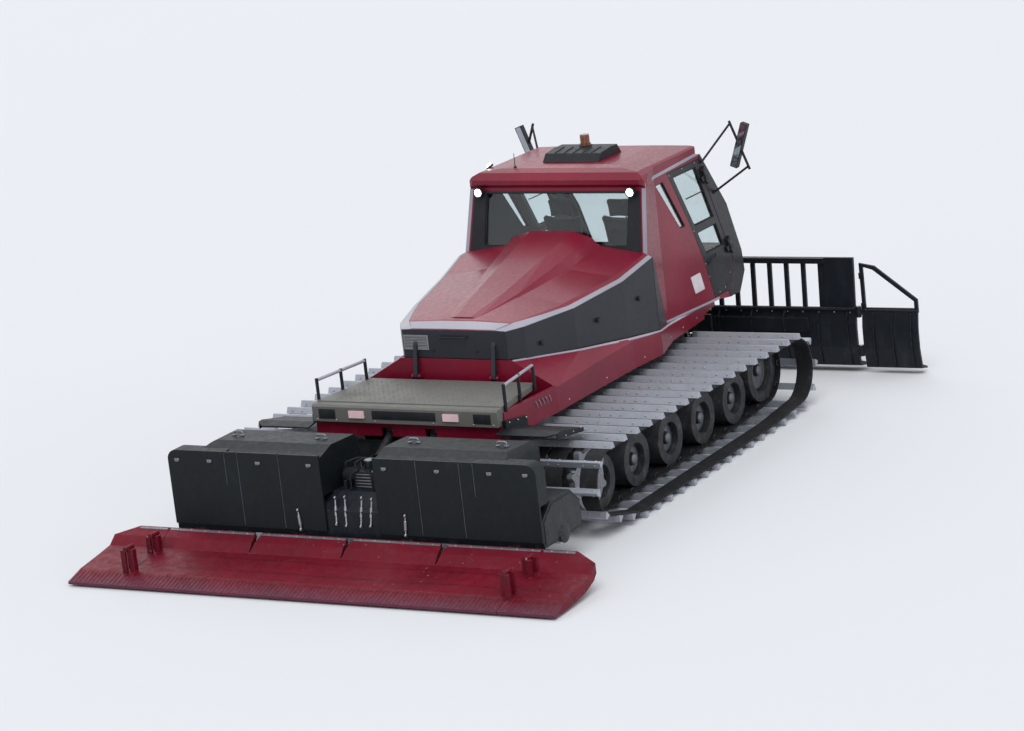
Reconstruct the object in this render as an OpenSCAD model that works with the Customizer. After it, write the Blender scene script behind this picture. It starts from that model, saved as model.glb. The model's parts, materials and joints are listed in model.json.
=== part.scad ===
// Snow groomer on two wide tracks: front blade, cab, load deck, rear tiller and finishing comb.
// Millimetres. Forward is +X, left is +Y, up is +Z, the ground is z = 0 and x counts from mid track
// until placed() moves the whole machine so that its box is centred.

/* [Whole machine] */
// Cutting edge of the blade, ahead of mid track
front_reach = 3800; // [3600:3900]
// Rear edge of the finishing comb, behind mid track
rear_reach = 4720; // [4500:4900]
// Gap that seats one still piece on another
seat_gap = 0.3; // [0.1:0.1:1]
// Clear space between pieces that move past each other
move_gap = 6; // [5:12]
// Radial play of a pin in its bore
pin_play = 0.05; // [0.01:0.01:0.1]

/* [Tracks] */
// Width across one track
track_width = 1250; // [1100:1400]
// Middle of a track from the middle of the machine
track_offset = 1475; // [1400:1600]
// Bars on one track
bar_count = 40; // [36:48]
// Height of a bar over its belt
bar_height = 60; // [40:80]
// Length of a bar's foot along the belt
bar_foot = 78; // [60:84]
// Length of a bar's tip along the belt
bar_tip = 22; // [14:40]
// Thickness of a belt
belt_thickness = 14; // [10:20]
// Width of each of the two inner belts
inner_belt_width = 190; // [150:230]
// Middle of an inner belt from the middle of the track
inner_belt_offset = 115; // [100:150]
// Width of each of the two outer belts
outer_belt_width = 180; // [120:220]
// Middle of an outer belt from the middle of the track
outer_belt_offset = 500; // [420:530]

/* [Running gear] */
// Radius of a road wheel
road_wheel_radius = 270; // [240:290]
// Width of a tyre
tyre_width = 300; // [220:340]
// Flats round a tyre
tyre_sides = 36; // [24:48]
// Radius of a wheel's rim
rim_radius = 165; // [120:200]
// Road wheels on one side
road_wheel_count = 5; // [4:6]
// First road wheel, behind mid track
road_wheel_rear = 1740; // [1650:1800]
// Last road wheel, ahead of mid track
road_wheel_front = 1250; // [1100:1350]
// Radius of the front idler
idler_radius = 335; // [300:360]
// Idler's centre, ahead of mid track
idler_x = 1950; // [1850:2050]
// Height of the idler's centre
idler_z = 455; // [420:500]
// Radius of the drive sprocket
sprocket_radius = 316; // [290:330]
// Sprocket's centre, behind mid track
sprocket_x = 2310; // [2250:2350]
// Height of the sprocket's centre
sprocket_z = 530; // [500:560]
// Teeth of a sprocket
sprocket_teeth = 8; // [7:10]
// Radius of a wheel axle
axle_radius = 42; // [30:60]

/* [Chassis] */
// Half the width of the tub between the tracks
tub_half = 640; // [560:700]
// Underside of the tub
tub_floor = 380; // [300:450]
// Upper edge of the tub
tub_top = 900; // [850:950]
// Thickness of the tub's walls
tub_wall = 40; // [20:60]
// Rear end of the tub, behind mid track
tub_rear = 2480; // [2400:2550]
// Front end of the tub, ahead of mid track
tub_front = 2150; // [2100:2250]

/* [Cab] */
// Half the width of the cab at the doors
cab_half = 970; // [950:1000]
// Half the width of the cab at its rear corners, under the window
cab_rear_half = 1083; // [1060:1100]
// Rear wall's foot, ahead of mid track
cab_rear = 660; // [640:700]
// Thickness of the cab's walls and doors
cab_wall = 50; // [30:70]
// Height of the cab's floor inside
cab_floor = 1250; // [1200:1300]
// Height of the flat part of the roof
roof_top = 2885; // [2800:2950]
// Height of the hatch over the roof
hatch_height = 100; // [60:140]
// Height of the beacon over the hatch
beacon_height = 125; // [90:160]
// Thickness of the panes
glass = 8; // [5:12]

/* [Hood] */
// Thickness of the hood's skin
hood_skin = 30; // [10:40]
// Gap between the hood and the cab
hood_gap = 14; // [10:20]
// Rear end of the hood, behind mid track
hood_rear = 1520; // [1450:1550]
// Hood's hinge line, behind mid track
hood_hinge_x = 1578; // [1560:1600]
// Height of the hood's hinge line
hood_hinge_z = 1300; // [1280:1340]

/* [Load deck] */
// Half the width of the deck at its rear edge
deck_half = 1050; // [1000:1100]
// Half the width of the deck at its front edge
deck_front_half = 940; // [900:1000]
// Front edge of the deck, behind mid track
deck_front = 1650; // [1620:1700]
// Rear edge of the deck, behind mid track
deck_rear = 2500; // [2400:2550]
// Upper face of the deck
deck_top = 1290; // [1260:1310]
// Thickness of the deck
deck_thickness = 60; // [30:80]
// Top of the rails on the deck
rail_top = 1500; // [1450:1580]
// Radius of a tie-down hole in the deck
tie_hole_radius = 9; // [6:14]
// Spacing of the tie-down holes along the machine
tie_spacing_x = 600; // [400:700]
// Spacing of the tie-down holes across the machine
tie_spacing_y = 1500; // [1000:1700]

/* [Blade] */
// Half the width of the blade without its wings
blade_half = 2050; // [1900:2200]
// Outer end of a wing from the middle
wing_reach = 2780; // [2500:2900]
// Top of the blade
blade_top = 1290; // [1200:1400]
// Top of the closed part of the blade
board_top = 740; // [650:850]
// Underside of the cutting edge
blade_bottom = 40; // [20:80]

/* [Tiller] */
// Half the width of the tiller
tiller_half = 2050; // [1900:2200]
// Rotor's axis, behind mid track
rotor_x = 3310; // [3250:3350]
// Height of the rotor's axis
rotor_z = 335; // [320:360]
// Radius to the tips of the tines
tine_reach = 290; // [250:300]
// Radius of the rotor's tube
rotor_tube = 100; // [70:130]
// Tines on one rotor
tine_count = 36; // [24:48]
// Outer end of the finishing comb from the middle
comb_reach = 2680; // [2600:2750]
// Top of the tiller's end covers
cover_top = 1105; // [1050:1150]
// Top of the tiller's middle covers
crown_top = 1150; // [1110:1200]
// Outer end of the middle covers from the middle
crown_reach = 1700; // [1600:1800]
// Radius of the covers' upper corners
cover_corner = 100; // [60:140]

/* [Hidden] */
$fn = 48;
shift_x = (rear_reach - front_reach) / 2;
red = [0.62, 0.05, 0.10];
charcoal = [0.13, 0.14, 0.16];
black = [0.06, 0.06, 0.07];
steel = [0.55, 0.57, 0.60];
grey = [0.38, 0.38, 0.36];
pane = [0.6, 0.7, 0.75, 0.35];

// Shared helpers
module placed() { translate([shift_x, 0, 0]) children(); }
module both_sides() { children(); mirror([0, 1, 0]) children(); }
// Side profile of [x, z] points, spread from y0 to y1
module side_slab(points, y0, y1) {
  translate([0, y1, 0]) rotate([90, 0, 0]) linear_extrude(height = y1 - y0) polygon(points);
}
// Outline with every edge moved inwards by d; the points run clockwise, and d < 0 moves them out
function unit(v) = v / norm(v);
function corner_inset(a, b, c, d) = let(u = unit(b - a), v = unit(c - b))
  b + d / (1 + u * v) * ([u[1], -u[0]] + [v[1], -v[0]]);
function inset_points(points, d) = let(n = len(points)) [for (i = [0 : n - 1])
  corner_inset(points[(i + n - 1) % n], points[i], points[(i + 1) % n], d)];
// Round bar along Y
module bar_y(x, z, y0, y1, r) {
  translate([x, y1, z]) rotate([90, 0, 0]) cylinder(h = y1 - y0, r = r);
}
// Round bar from p to q
module rod(p, q, r) {
  d = q - p;
  translate(p) rotate([0, acos(d[2] / norm(d)), atan2(d[1], d[0])]) cylinder(h = norm(d), r = r);
}
// Flat link of a given half height between two round ends, from y0 to y1
module link(a, b, y0, y1, half) {
  d = b - a;
  n = [-d[1], d[0]] / norm(d) * (half - 8);
  translate([0, y1, 0]) rotate([90, 0, 0]) linear_extrude(height = y1 - y0) union() {
    polygon([a - n, b - n, b + n, a + n]);
    translate(a) circle(r = half);
    translate(b) circle(r = half);
  }
}

// Track loop: belts run round sprocket, first road wheel, last road wheel and idler.
// Each row is x, z and the radius of the belt's outer face.
road_wheel_z = bar_height + seat_gap + belt_thickness + seat_gap + road_wheel_radius;
belt_lap = belt_thickness + seat_gap;
loop_wheels = [
  [-sprocket_x, sprocket_z, sprocket_radius + belt_lap],
  [-road_wheel_rear, road_wheel_z, road_wheel_radius + belt_lap],
  [road_wheel_front, road_wheel_z, road_wheel_radius + belt_lap],
  [idler_x, idler_z, idler_radius + belt_lap]];
function loop_wheel(i) = loop_wheels[(i + 4) % 4];
function gap_x(i) = loop_wheel(i + 1)[0] - loop_wheel(i)[0];
function gap_z(i) = loop_wheel(i + 1)[1] - loop_wheel(i)[1];
function gap_r(i) = loop_wheel(i)[2] - loop_wheel(i + 1)[2];
// Direction that the belt's outer face looks on the run after wheel i
function run_facing(i) = atan2(gap_z(i), gap_x(i)) - 90
  + asin(gap_r(i) / norm([gap_x(i), gap_z(i)]));
function wrap_angle(i) = (run_facing(i) - run_facing(i - 1) + 720) % 360;
function run_length(i) = sqrt(pow(gap_x(i), 2) + pow(gap_z(i), 2) - pow(gap_r(i), 2));
function wrap_length(i) = loop_wheel(i)[2] * wrap_angle(i) * PI / 180;
function stretch_length(k) = k % 2 == 0 ? wrap_length(floor(k / 2)) : run_length(floor(k / 2));
// Point and facing at distance s along stretch k: even stretches wrap a wheel, odd ones are runs
function wrap_point(i, s) = let(w = loop_wheel(i), a = run_facing(i - 1) + s / w[2] * 180 / PI)
  [w[0] + w[2] * cos(a), w[1] + w[2] * sin(a), a];
function run_point(i, s) = let(w = loop_wheel(i), a = run_facing(i))
  [w[0] + w[2] * cos(a) - s * sin(a), w[1] + w[2] * sin(a) + s * cos(a), a];
function stretch_point(k, s) = k % 2 == 0 ? wrap_point(floor(k / 2), s)
  : run_point(floor(k / 2), s);
function loop_point(s, k = 0) = s <= stretch_length(k) || k == 7 ? stretch_point(k, s)
  : loop_point(s - stretch_length(k), k + 1);
function stretch_start(k) = k == 0 ? 0 : stretch_start(k - 1) + stretch_length(k - 1);
loop_length = stretch_start(7) + stretch_length(7);
bar_pitch = loop_length / bar_count;
// A belt bends in flat facets, three to a bar, and every bar lies on the middle of one of them
facets_per_bar = 3;
facet_length = bar_pitch / facets_per_bar;
// Directions that the facets round wheel i look in, from one run to the next
function wrap_facings(i) = let(a = run_facing(i - 1), s0 = stretch_start(2 * i),
    s1 = s0 + wrap_length(i)) concat([a],
  [for (j = [0 : bar_count * facets_per_bar - 1]) let(s = j * facet_length)
    if (s > s0 + 0.01 && s < s1 - 0.01) a + (s - s0) / loop_wheel(i)[2] * 180 / PI],
  [a + wrap_angle(i)]);
// Corners of a belt's face at a depth below its outer face
function belt_ring(depth) = [for (i = [0 : 3]) let(w = loop_wheel(i), a = wrap_facings(i))
  for (m = [0 : len(a) - 2])
    let(facing = (a[m] + a[m + 1]) / 2, r = (w[2] - depth) / cos((a[m + 1] - a[m]) / 2))
    [w[0] + r * cos(facing), w[1] + r * sin(facing)]];
module belt(middle, width) {
  translate([0, middle + width / 2, 0]) rotate([90, 0, 0]) linear_extrude(height = width)
    difference() {
      polygon(belt_ring(0));
      polygon(belt_ring(belt_thickness));
    }
}
module track_bar() {
  rotate([90, 0, 0]) translate([0, 0, -track_width / 2]) linear_extrude(height = track_width)
    polygon([[seat_gap, -bar_foot / 2], [bar_height + seat_gap, -bar_tip / 2],
      [bar_height + seat_gap, bar_tip / 2], [seat_gap, bar_foot / 2]]);
}
module track(middle) {
  translate([0, middle, 0]) {
    for (side = [-1, 1]) {
      belt(side * inner_belt_offset, inner_belt_width);
      belt(side * outer_belt_offset, outer_belt_width);
    }
    for (i = [0 : bar_count - 1]) {
      p = loop_point(i * bar_pitch);
      translate([p[0], 0, p[1]]) rotate([0, -p[2], 0]) track_bar();
    }
  }
}
module track_left() { placed() color(steel) track(track_offset); }
module track_right() { placed() color(steel) track(-track_offset); }

road_wheel_step = (road_wheel_front + road_wheel_rear) / (road_wheel_count - 1);
// Wheels that carry the belts: x, z, radius
wheels = concat([for (i = [0 : road_wheel_count - 1])
    [i * road_wheel_step - road_wheel_rear, road_wheel_z, road_wheel_radius]],
  [[idler_x, idler_z, idler_radius]]);
module tyres() {
  placed() color(black) both_sides() for (w = wheels)
    translate([w[0], track_offset, w[1]]) rotate([-90, 0, 0])
      translate([0, 0, -tyre_width / 2]) linear_extrude(height = tyre_width) difference() {
        flat_ring(w[2]);
        flat_ring((rim_of(w) + seat_gap) / cos(180 / tyre_sides));
      }
}
module flat_ring(r) {
  polygon([for (i = [0 : tyre_sides - 1]) r * [cos(i * 360 / tyre_sides), sin(i * 360 / tyre_sides)]]);
}
function rim_of(w) = rim_radius + w[2] - road_wheel_radius;
rim_half = 90;
hub_half = 110;
module running_gear() {
  placed() color(charcoal) both_sides() for (w = wheels) {
    translate([w[0], track_offset, w[1]]) rotate([-90, 0, 0]) wheel_disc(rim_of(w));
    bar_y(w[0], w[1], tub_half, track_offset + hub_half + 12, axle_radius);
    link([w[0], w[1]], [w[0] + 250, w[1] + 90], tub_half, tub_half + 60, 70);
  }
}
// Dished disc, open towards the outer side
module wheel_disc(rim) {
  rotate_extrude() polygon([[0, -rim_half], [rim, -rim_half], [rim, rim_half], [rim - 18, rim_half],
    [rim - 40, rim_half / 2], [axle_radius + 34, rim_half / 2], [axle_radius + 20, hub_half],
    [0, hub_half]]);
}
sprocket_ring_offset = 305;
sprocket_ring_width = 60;
module sprocket_ring() {
  tooth_facing = loop_point(floor(wrap_length(0) / 2 / bar_pitch) * bar_pitch)[2];
  bar_y(0, 0, -sprocket_ring_width / 2, sprocket_ring_width / 2, sprocket_radius - 30);
  for (i = [0 : sprocket_teeth - 1])
    rotate([0, -tooth_facing - (i + 0.5) * 360 / sprocket_teeth, 0])
      rotate([90, 0, 0]) translate([0, 0, -sprocket_ring_width / 2])
        linear_extrude(height = sprocket_ring_width)
          polygon([[sprocket_radius - 60, -60], [sprocket_radius + 26, -18],
            [sprocket_radius + 26, 18], [sprocket_radius - 60, 60]]);
}
module sprockets() {
  placed() color(steel) both_sides() translate([-sprocket_x, 0, sprocket_z]) {
    for (side = [-1, 1])
      translate([0, track_offset + side * sprocket_ring_offset, 0]) sprocket_ring();
    bar_y(0, 0, track_offset - sprocket_ring_offset, track_offset + sprocket_ring_offset, 180);
    bar_y(0, 0, tub_half, track_offset, 120);
  }
}

// Pivots on the chassis: x and z of each hinge line along Y
push_pivot = [2260, 600];
level_pivot = [2260, 835];
front_lift_pivot = [2255, 930];
tiller_pivot = [-2570, 700];
rear_lift_pivot = [-2430, 1000];
pivot_pin = 28;
ear_radius = 60;
ear_thickness = 24;
// Two ears that hold a lug of a given width with its middle at y, reaching back to x_root
module ears(pivot, y, lug, x_root) {
  for (side = [-1, 1]) {
    y0 = y + side * (lug / 2 + 2 + ear_thickness / 2) - ear_thickness / 2;
    difference() {
      union() {
        bar_y(pivot[0], pivot[1], y0, y0 + ear_thickness, ear_radius);
        translate([min(x_root, pivot[0]), y0, pivot[1] - ear_radius])
          cube([abs(pivot[0] - x_root), ear_thickness, 2 * ear_radius]);
      }
      bar_y(pivot[0], pivot[1], y0 - 1, y0 + ear_thickness + 1, pivot_pin + pin_play);
    }
  }
}
// Lug with its pin, which runs through both ears
module lug(pivot, y, width) {
  bar_y(pivot[0], pivot[1], y - width / 2, y + width / 2, ear_radius - 6);
  bar_y(pivot[0], pivot[1], y - width / 2 - ear_thickness - 6, y + width / 2 + ear_thickness + 6,
    pivot_pin);
}
push_arm_y = 470;
push_arm_width = 90;
level_link_y = 250;
level_link_width = 60;
front_lift_y = 380;
lift_width = 50;
tiller_arm_y = 400;
tiller_arm_width = 90;
rear_lift_y = 250;

module chassis_frame() {
  placed() color(black) {
    difference() {
      side_slab([[-tub_rear, 620], [-2150, tub_floor], [1850, tub_floor], [tub_front, 560],
        [tub_front, tub_top], [-tub_rear, tub_top]], -tub_half, tub_half);
      side_slab([[tub_wall - tub_rear, 640], [-2130, tub_floor + 60], [1830, tub_floor + 60],
        [tub_front - tub_wall, 580], [tub_front - tub_wall, tub_top + 1],
        [tub_wall - tub_rear, tub_top + 1]], tub_wall - tub_half, tub_half - tub_wall);
    }
    for (x = [-1000, 200]) translate([x, -tub_half + 10, tub_floor + 30])
      cube([120, 2 * tub_half - 20, 150]);
    both_sides() {
      ears(push_pivot, push_arm_y, push_arm_width, tub_front - 10);
      ears(level_pivot, level_link_y, level_link_width, tub_front - 10);
      ears(front_lift_pivot, front_lift_y, lift_width, tub_front - 10);
      translate([tub_front - 30, front_lift_y - 80, tub_top - 30]) cube([29, 160, 90]);
      ears(tiller_pivot, tiller_arm_y, tiller_arm_width, 10 - tub_rear);
      ears(rear_lift_pivot, rear_lift_y, lift_width, rear_lift_pivot[0] + ear_radius + 8);
      translate([rear_lift_pivot[0] + ear_radius, rear_lift_y - 80, tub_top - 30])
        cube([60, 160, 190]);
      translate([10 - tub_rear, rear_lift_y - 80, tub_top - 40]) cube([160, 160, 30]);
    }
  }
}
module engine_block() {
  placed() color(steel) translate([-1050, -400, tub_floor + 180 + seat_gap])
    cube([1400, 800, 820]);
}

// Red body over the tub. Its upper edge is the light line along the machine's side.
line_low = [2440, 1105];
line_knee = [1200, 1160];
line_high = [-1530, 1475];
function along(a, b, x) = a[1] + (x - a[0]) * (b[1] - a[1]) / (b[0] - a[0]);
function side_line_z(x) = x > line_knee[0] ? along(line_knee, line_low, x)
  : along(line_high, line_knee, x);
body_bottom = 965;
// How far the hood's dark band stands out from the cab's rear corners
band_outset = 67;
// Cross sections of the body: x, half width of its side, height of the side's upper edge and half
// width at the light line, which the shoulder falls from
body_rows = [
  [line_high[0], 1110, 1215, 640],
  [-700, 1110, 1240, 950],
  [100, 1120, 1250, 1100],
  [cab_rear, cab_rear_half + band_outset + 10, 1205, cab_rear_half + band_outset + 2],
  [line_knee[0], 1005, 1140, 990],
  [line_low[0], 900, 1085, 885]];
module body_slice(r) {
  z = side_line_z(r[0]);
  translate([r[0], 0, 0]) rotate([90, 0, 90]) linear_extrude(height = 0.5)
    polygon([[-r[1], body_bottom], [-r[1], r[2]], [-r[3], z], [r[3], z], [r[1], r[2]],
      [r[1], body_bottom]]);
}
bay_front = cab_rear - 60;
bay_rear = -1450;
body_rear = -deck_rear - 50;
body_rear_half = deck_half + 10;
rear_wall = 45;
deck_seat = deck_top - deck_thickness - seat_gap;
module lower_body() {
  placed() color(red) difference() {
    union() {
      for (i = [0 : len(body_rows) - 2]) hull() {
        body_slice(body_rows[i]);
        body_slice(body_rows[i + 1]);
      }
      translate([line_high[0], -tub_half, tub_top + seat_gap]) cube([3600, 2 * tub_half, 100]);
      rear_body();
    }
    side_slab([[2080, 900], [2125, 1010], [2400, 1030], [2500, 1030], [2500, 900]], -1000, 1000);
    translate([bay_rear, -tub_half + tub_wall, 0])
      cube([bay_front - bay_rear, 2 * (tub_half - tub_wall), 3000]);
    translate([0, 0, 1060]) linear_extrude(height = 2000) polygon([[bay_front, -940], [-700, -810],
      [bay_rear, -545], [bay_rear, 545], [-700, 810], [bay_front, 940]]);
  }
  placed() color(red) both_sides() for (side = [-1, 1]) hood_ear(hood_arm_y + side * 38);
}
// Low walls round the space under the deck, with notches over the tiller's lift rams
module rear_body() {
  difference() {
    translate([0, 0, body_bottom]) linear_extrude(height = deck_seat - body_bottom)
      difference() {
        polygon([[line_high[0] + 10, -body_rows[0][1]], [body_rear, -body_rear_half],
          [body_rear, body_rear_half], [line_high[0] + 10, body_rows[0][1]]]);
        polygon([[line_high[0], rear_wall - body_rows[0][1]],
          [body_rear + rear_wall, rear_wall - body_rear_half],
          [body_rear + rear_wall, body_rear_half - rear_wall],
          [line_high[0], body_rows[0][1] - rear_wall]]);
      }
    translate([body_rear - 1, -2000, lip_bottom - seat_gap])
      cube([seat_gap - deck_rear - body_rear + 1, 4000, 500]);
    both_sides() translate([body_rear - 1, rear_lift_y - 65, body_bottom - 1])
      cube([rear_wall + 2, 130, 91]);
  }
}
// Ear on the body's rear face that holds the hood's hinge pin
module hood_ear(y) {
  difference() {
    union() {
      bar_y(-hood_hinge_x, hood_hinge_z, y - 10, y + 10, 26);
      translate([-hood_hinge_x, y - 10, hood_hinge_z - 26]) cube([60, 20, 52]);
    }
    bar_y(-hood_hinge_x, hood_hinge_z, y - 11, y + 11, hood_pin + pin_play);
  }
}

// Cab: points are [x, z], rear wall and screen leaning towards each other. In plan its sides
// spread from the doors to the rear corners.
cab_rear_top = [cab_rear + 195, 2690];
band_top = 2000;
function rear_wall_x(z) = along([band_top, cab_rear], [cab_rear_top[1], cab_rear_top[0]], z);
cab_outer = [[cab_rear, side_line_z(cab_rear) + seat_gap], line_knee + [0, seat_gap],
  line_low + [1, seat_gap], [2700, 1066], [2950, 1066], [3100, 1270], [3070, 1500],
  [2810, 2080], [2290, 2735], cab_rear_top, [cab_rear, band_top]];
cab_inner = [[cab_rear + cab_wall, cab_floor], [3030, cab_floor], [3018, 1490], [2765, 2050],
  [2262, 2740], [cab_rear_top[0] + 66, 2740], [cab_rear + cab_wall, 1990]];
spread_end = 1200;
// Plan of the cab's sides, moved in by d
module cab_plan(d) {
  linear_extrude(height = 4000) polygon([[cab_rear - 10, d - cab_rear_half],
    [spread_end, d - cab_half], [4000, d - cab_half], [4000, cab_half - d],
    [spread_end, cab_half - d], [cab_rear - 10, cab_rear_half - d]]);
}
// Cross section that draws the rear corners in towards the roof
corner_top_half = cab_half + 70;
corner_foot_half = max(cab_rear_half, cab_half);
module cab_section(d) {
  rotate([90, 0, 90]) linear_extrude(height = 4000) polygon([[d - corner_foot_half, 0],
    [corner_foot_half - d, 0], [corner_foot_half - d, 2060], [corner_top_half - d, 2690],
    [corner_top_half - d, 3500], [d - corner_top_half, 3500], [d - corner_top_half, 2690],
    [d - corner_foot_half, 2060]]);
}
door_edge = [[1500, 2690], [2215, 2690], [2855, 1420], [2660, 1155], [2330, 1155], [2150, 1620],
  [1930, 2030]];
door_opening = [[1491, 2696], [2220, 2696], [2864, 1418], [2664, 1148], [2325, 1148],
  [2144, 1617], [1925, 2026]];
door_pane_high = [[1625, 2625], [2160, 2625], [2480, 2010], [2020, 2010]];
door_pane_low = [[2065, 1930], [2515, 1930], [2650, 1660], [2225, 1660]];
quarter_pane = [[1215, 2630], [1385, 2630], [1800, 2060], [1690, 2060]];
module cab_shell() {
  placed() color(red) difference() {
    union() {
      intersection() {
        side_slab(cab_outer, -cab_rear_half, cab_rear_half);
        cab_plan(0);
        cab_section(0);
      }
      both_sides() door_hinge_fixed();
    }
    intersection() {
      side_slab(cab_inner, -cab_rear_half, cab_rear_half);
      cab_plan(cab_wall);
      cab_section(cab_wall);
    }
    side_slab([[2880, 1570], [3300, 1570], [3300, 2670], [2150, 2670]], -860, 860);
    both_sides() {
      side_slab(door_opening, cab_half - cab_wall - 5, cab_half + 1);
      side_slab(quarter_pane, cab_half - cab_wall - 5, cab_half + 5);
    }
    translate([cab_rear - 100, -rear_window_half, rear_window_low])
      cube([400, 2 * rear_window_half, rear_window_high - rear_window_low]);
  }
}
// Hinge line of the doors, along the front post
hinge_low = [2855, 1420];
hinge_high = [2215, 2690];
hinge_slant = atan2(hinge_high[0] - hinge_low[0], hinge_high[1] - hinge_low[1]);
hinge_span = norm(hinge_high - hinge_low);
hinge_outset = 24;
hinge_pin = 9;
knuckle_radius = 18;
knuckle_length = 60;
knuckle_places = [0.16, 0.84];
// Own axes: Z up along the hinge line, X forward from it, from the left side's skin
module on_hinge_line() {
  translate([hinge_low[0], cab_half + hinge_outset, hinge_low[1]]) rotate([0, hinge_slant, 0])
    children();
}
module door_hinge_fixed() {
  on_hinge_line() for (t = knuckle_places) translate([0, 0, t * hinge_span]) {
    translate([0, 0, -knuckle_length - 6]) cylinder(h = 2 * knuckle_length + 12, r = hinge_pin);
    for (side = [-1, 1]) translate([0, 0, side * (knuckle_length + 2) - knuckle_length / 2])
      {
        cylinder(h = knuckle_length, r = knuckle_radius);
        translate([move_gap + 3, -hinge_outset - 8, 0])
          cube([50, hinge_outset + 8, knuckle_length]);
      }
  }
}
module door_hinge_moving() {
  on_hinge_line() for (t = knuckle_places)
    translate([0, 0, t * hinge_span - knuckle_length / 2]) difference() {
      union() {
        cylinder(h = knuckle_length, r = knuckle_radius);
        translate([-70, -hinge_outset - 8, 0]) cube([70, hinge_outset + 8, knuckle_length]);
      }
      translate([0, 0, -1]) cylinder(h = knuckle_length + 2, r = hinge_pin + pin_play);
      translate([knuckle_radius - 50 + 32, -hinge_outset - 9, -1])
        cube([60, hinge_outset - 12, knuckle_length + 2]);
    }
}
module door() {
  difference() {
    side_slab(door_edge, cab_half - cab_wall, cab_half);
    side_slab(door_pane_high, cab_half - cab_wall - 1, cab_half + 1);
    side_slab(door_pane_low, cab_half - cab_wall - 1, cab_half + 1);
  }
  door_hinge_moving();
}
module door_left() { placed() color(charcoal) door(); }
module door_right() { placed() color(charcoal) mirror([0, 1, 0]) door(); }
pane_y = cab_half - cab_wall / 2;
module door_glass() {
  inset_slab(door_pane_high, pane_y, pane_y + glass);
  inset_slab(door_pane_low, pane_y, pane_y + glass);
}
// Slab of a pane's outline with every edge drawn in by the seat gap
module inset_slab(points, y0, y1) { side_slab(inset_points(points, seat_gap), y0, y1); }
module door_glass_left() { placed() color(pane) door_glass(); }
module door_glass_right() { placed() color(pane) mirror([0, 1, 0]) door_glass(); }
module quarter_windows() {
  placed() color(pane) both_sides() inset_slab(quarter_pane, pane_y, pane_y + glass);
}
module windscreen() {
  placed() color(pane) side_slab([[3040, 1570 + seat_gap], [2790, 2068], [2312, 2670 - seat_gap],
    [2312 - glass * 1.3, 2670 - seat_gap], [2790 - glass, 2064], [3040 - glass, 1570 + seat_gap]],
    seat_gap - 860, 860 - seat_gap);
}
rear_window_half = 860;
rear_window_low = 2090;
rear_window_high = 2640;
module rear_window() {
  low = rear_window_low + seat_gap;
  high = rear_window_high - seat_gap;
  placed() color(pane) side_slab([[rear_wall_x(low) + 30, low],
    [rear_wall_x(low) + 30 + glass, low], [rear_wall_x(high) + 30 + glass, high],
    [rear_wall_x(high) + 30, high]], seat_gap - rear_window_half, rear_window_half - seat_gap);
}
module cab_roof() {
  rear = cab_rear_top[0];
  placed() color(red) difference() {
    intersection() {
      side_slab([[rear, 2690 + seat_gap], [rear - 35, 2725], [rear - 40, 2775],
        [rear + 40, roof_top - 45], [rear + 130, roof_top - 14], [rear + 240, roof_top],
        [2050, roof_top], [2190, 2850], [2262, 2790], [2290, 2735 + seat_gap]],
        -cab_rear_half, cab_rear_half);
      rotate([90, 0, 90]) linear_extrude(height = 3000)
        polygon([[-corner_top_half, 2600], [corner_top_half, 2600], [corner_top_half, 2762],
          [corner_top_half - 30, 2808], [corner_top_half - 100, 2845], [700, roof_top - 12],
          [540, roof_top], [-540, roof_top], [-700, roof_top - 12],
          [100 - corner_top_half, 2845], [30 - corner_top_half, 2808], [-corner_top_half, 2762]]);
      roof_plan();
    }
    side_slab([[rear + 66, 2600], [rear + 66, 2770], [rear + 200, roof_top - 45],
      [2030, roof_top - 45], [2200, 2770], [2240, 2600]], -850, 850);
  }
}
module roof_plan() {
  rear = cab_rear_top[0];
  linear_extrude(height = 4000) polygon([[rear - 60, -960], [rear - 10, -corner_top_half],
    [rear + 60, -corner_top_half], [spread_end, -cab_half], [2190, -cab_half], [2320, -900],
    [2320, 900], [2190, cab_half], [spread_end, cab_half], [rear + 60, corner_top_half],
    [rear - 10, corner_top_half], [rear - 60, 960]]);
}
hatch_top = roof_top + hatch_height;
module roof_hatch() {
  placed() color(black) side_slab([[1200, roof_top + seat_gap], [1280, hatch_top - 20],
    [1480, hatch_top], [1660, hatch_top], [1740, roof_top + seat_gap]], -330, 330);
}
module beacon() {
  placed() color([0.8, 0.35, 0.05]) translate([1570, 0, hatch_top + seat_gap]) {
    cylinder(h = beacon_height - seat_gap, r = 50);
    cylinder(h = 30, r = 62);
  }
}
module dashboard() {
  placed() color(black) {
    side_slab([[2700, cab_floor + seat_gap], [2990, cab_floor + seat_gap], [2965, 1480],
      [2800, 1560], [2700, 1500]], -620, 620);
    translate([2620, 330, 1560]) rotate([0, -25, 0]) rotate_extrude() translate([190, 0])
      circle(r = 16);
    translate([2620, 330, 1560]) rotate([0, -25, 0]) {
      translate([-190, -20, -12]) cube([380, 40, 24]);
      translate([0, 0, -160]) cylinder(h = 160, r = 32);
    }
    rod([2660, 330, 1440], [2790, 330, 1440], 32);
  }
}
// Seats: y of each seat's middle
seat_places = [330, -380];
module seats() {
  placed() color(black) for (y = seat_places) {
    translate([1700, y - 200, cab_floor + seat_gap]) cube([400, 400, 300]);
    translate([1640, y - 260, cab_floor + 300]) cube([540, 520, 130]);
    translate([1560, y - 250, cab_floor + 380]) rotate([0, -12, 0]) cube([130, 500, 640]);
    translate([1452, y - 140, cab_floor + 990]) rotate([0, -12, 0]) cube([100, 280, 200]);
  }
}
lamp_y = 905;
lamp_z = 2655;
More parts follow.
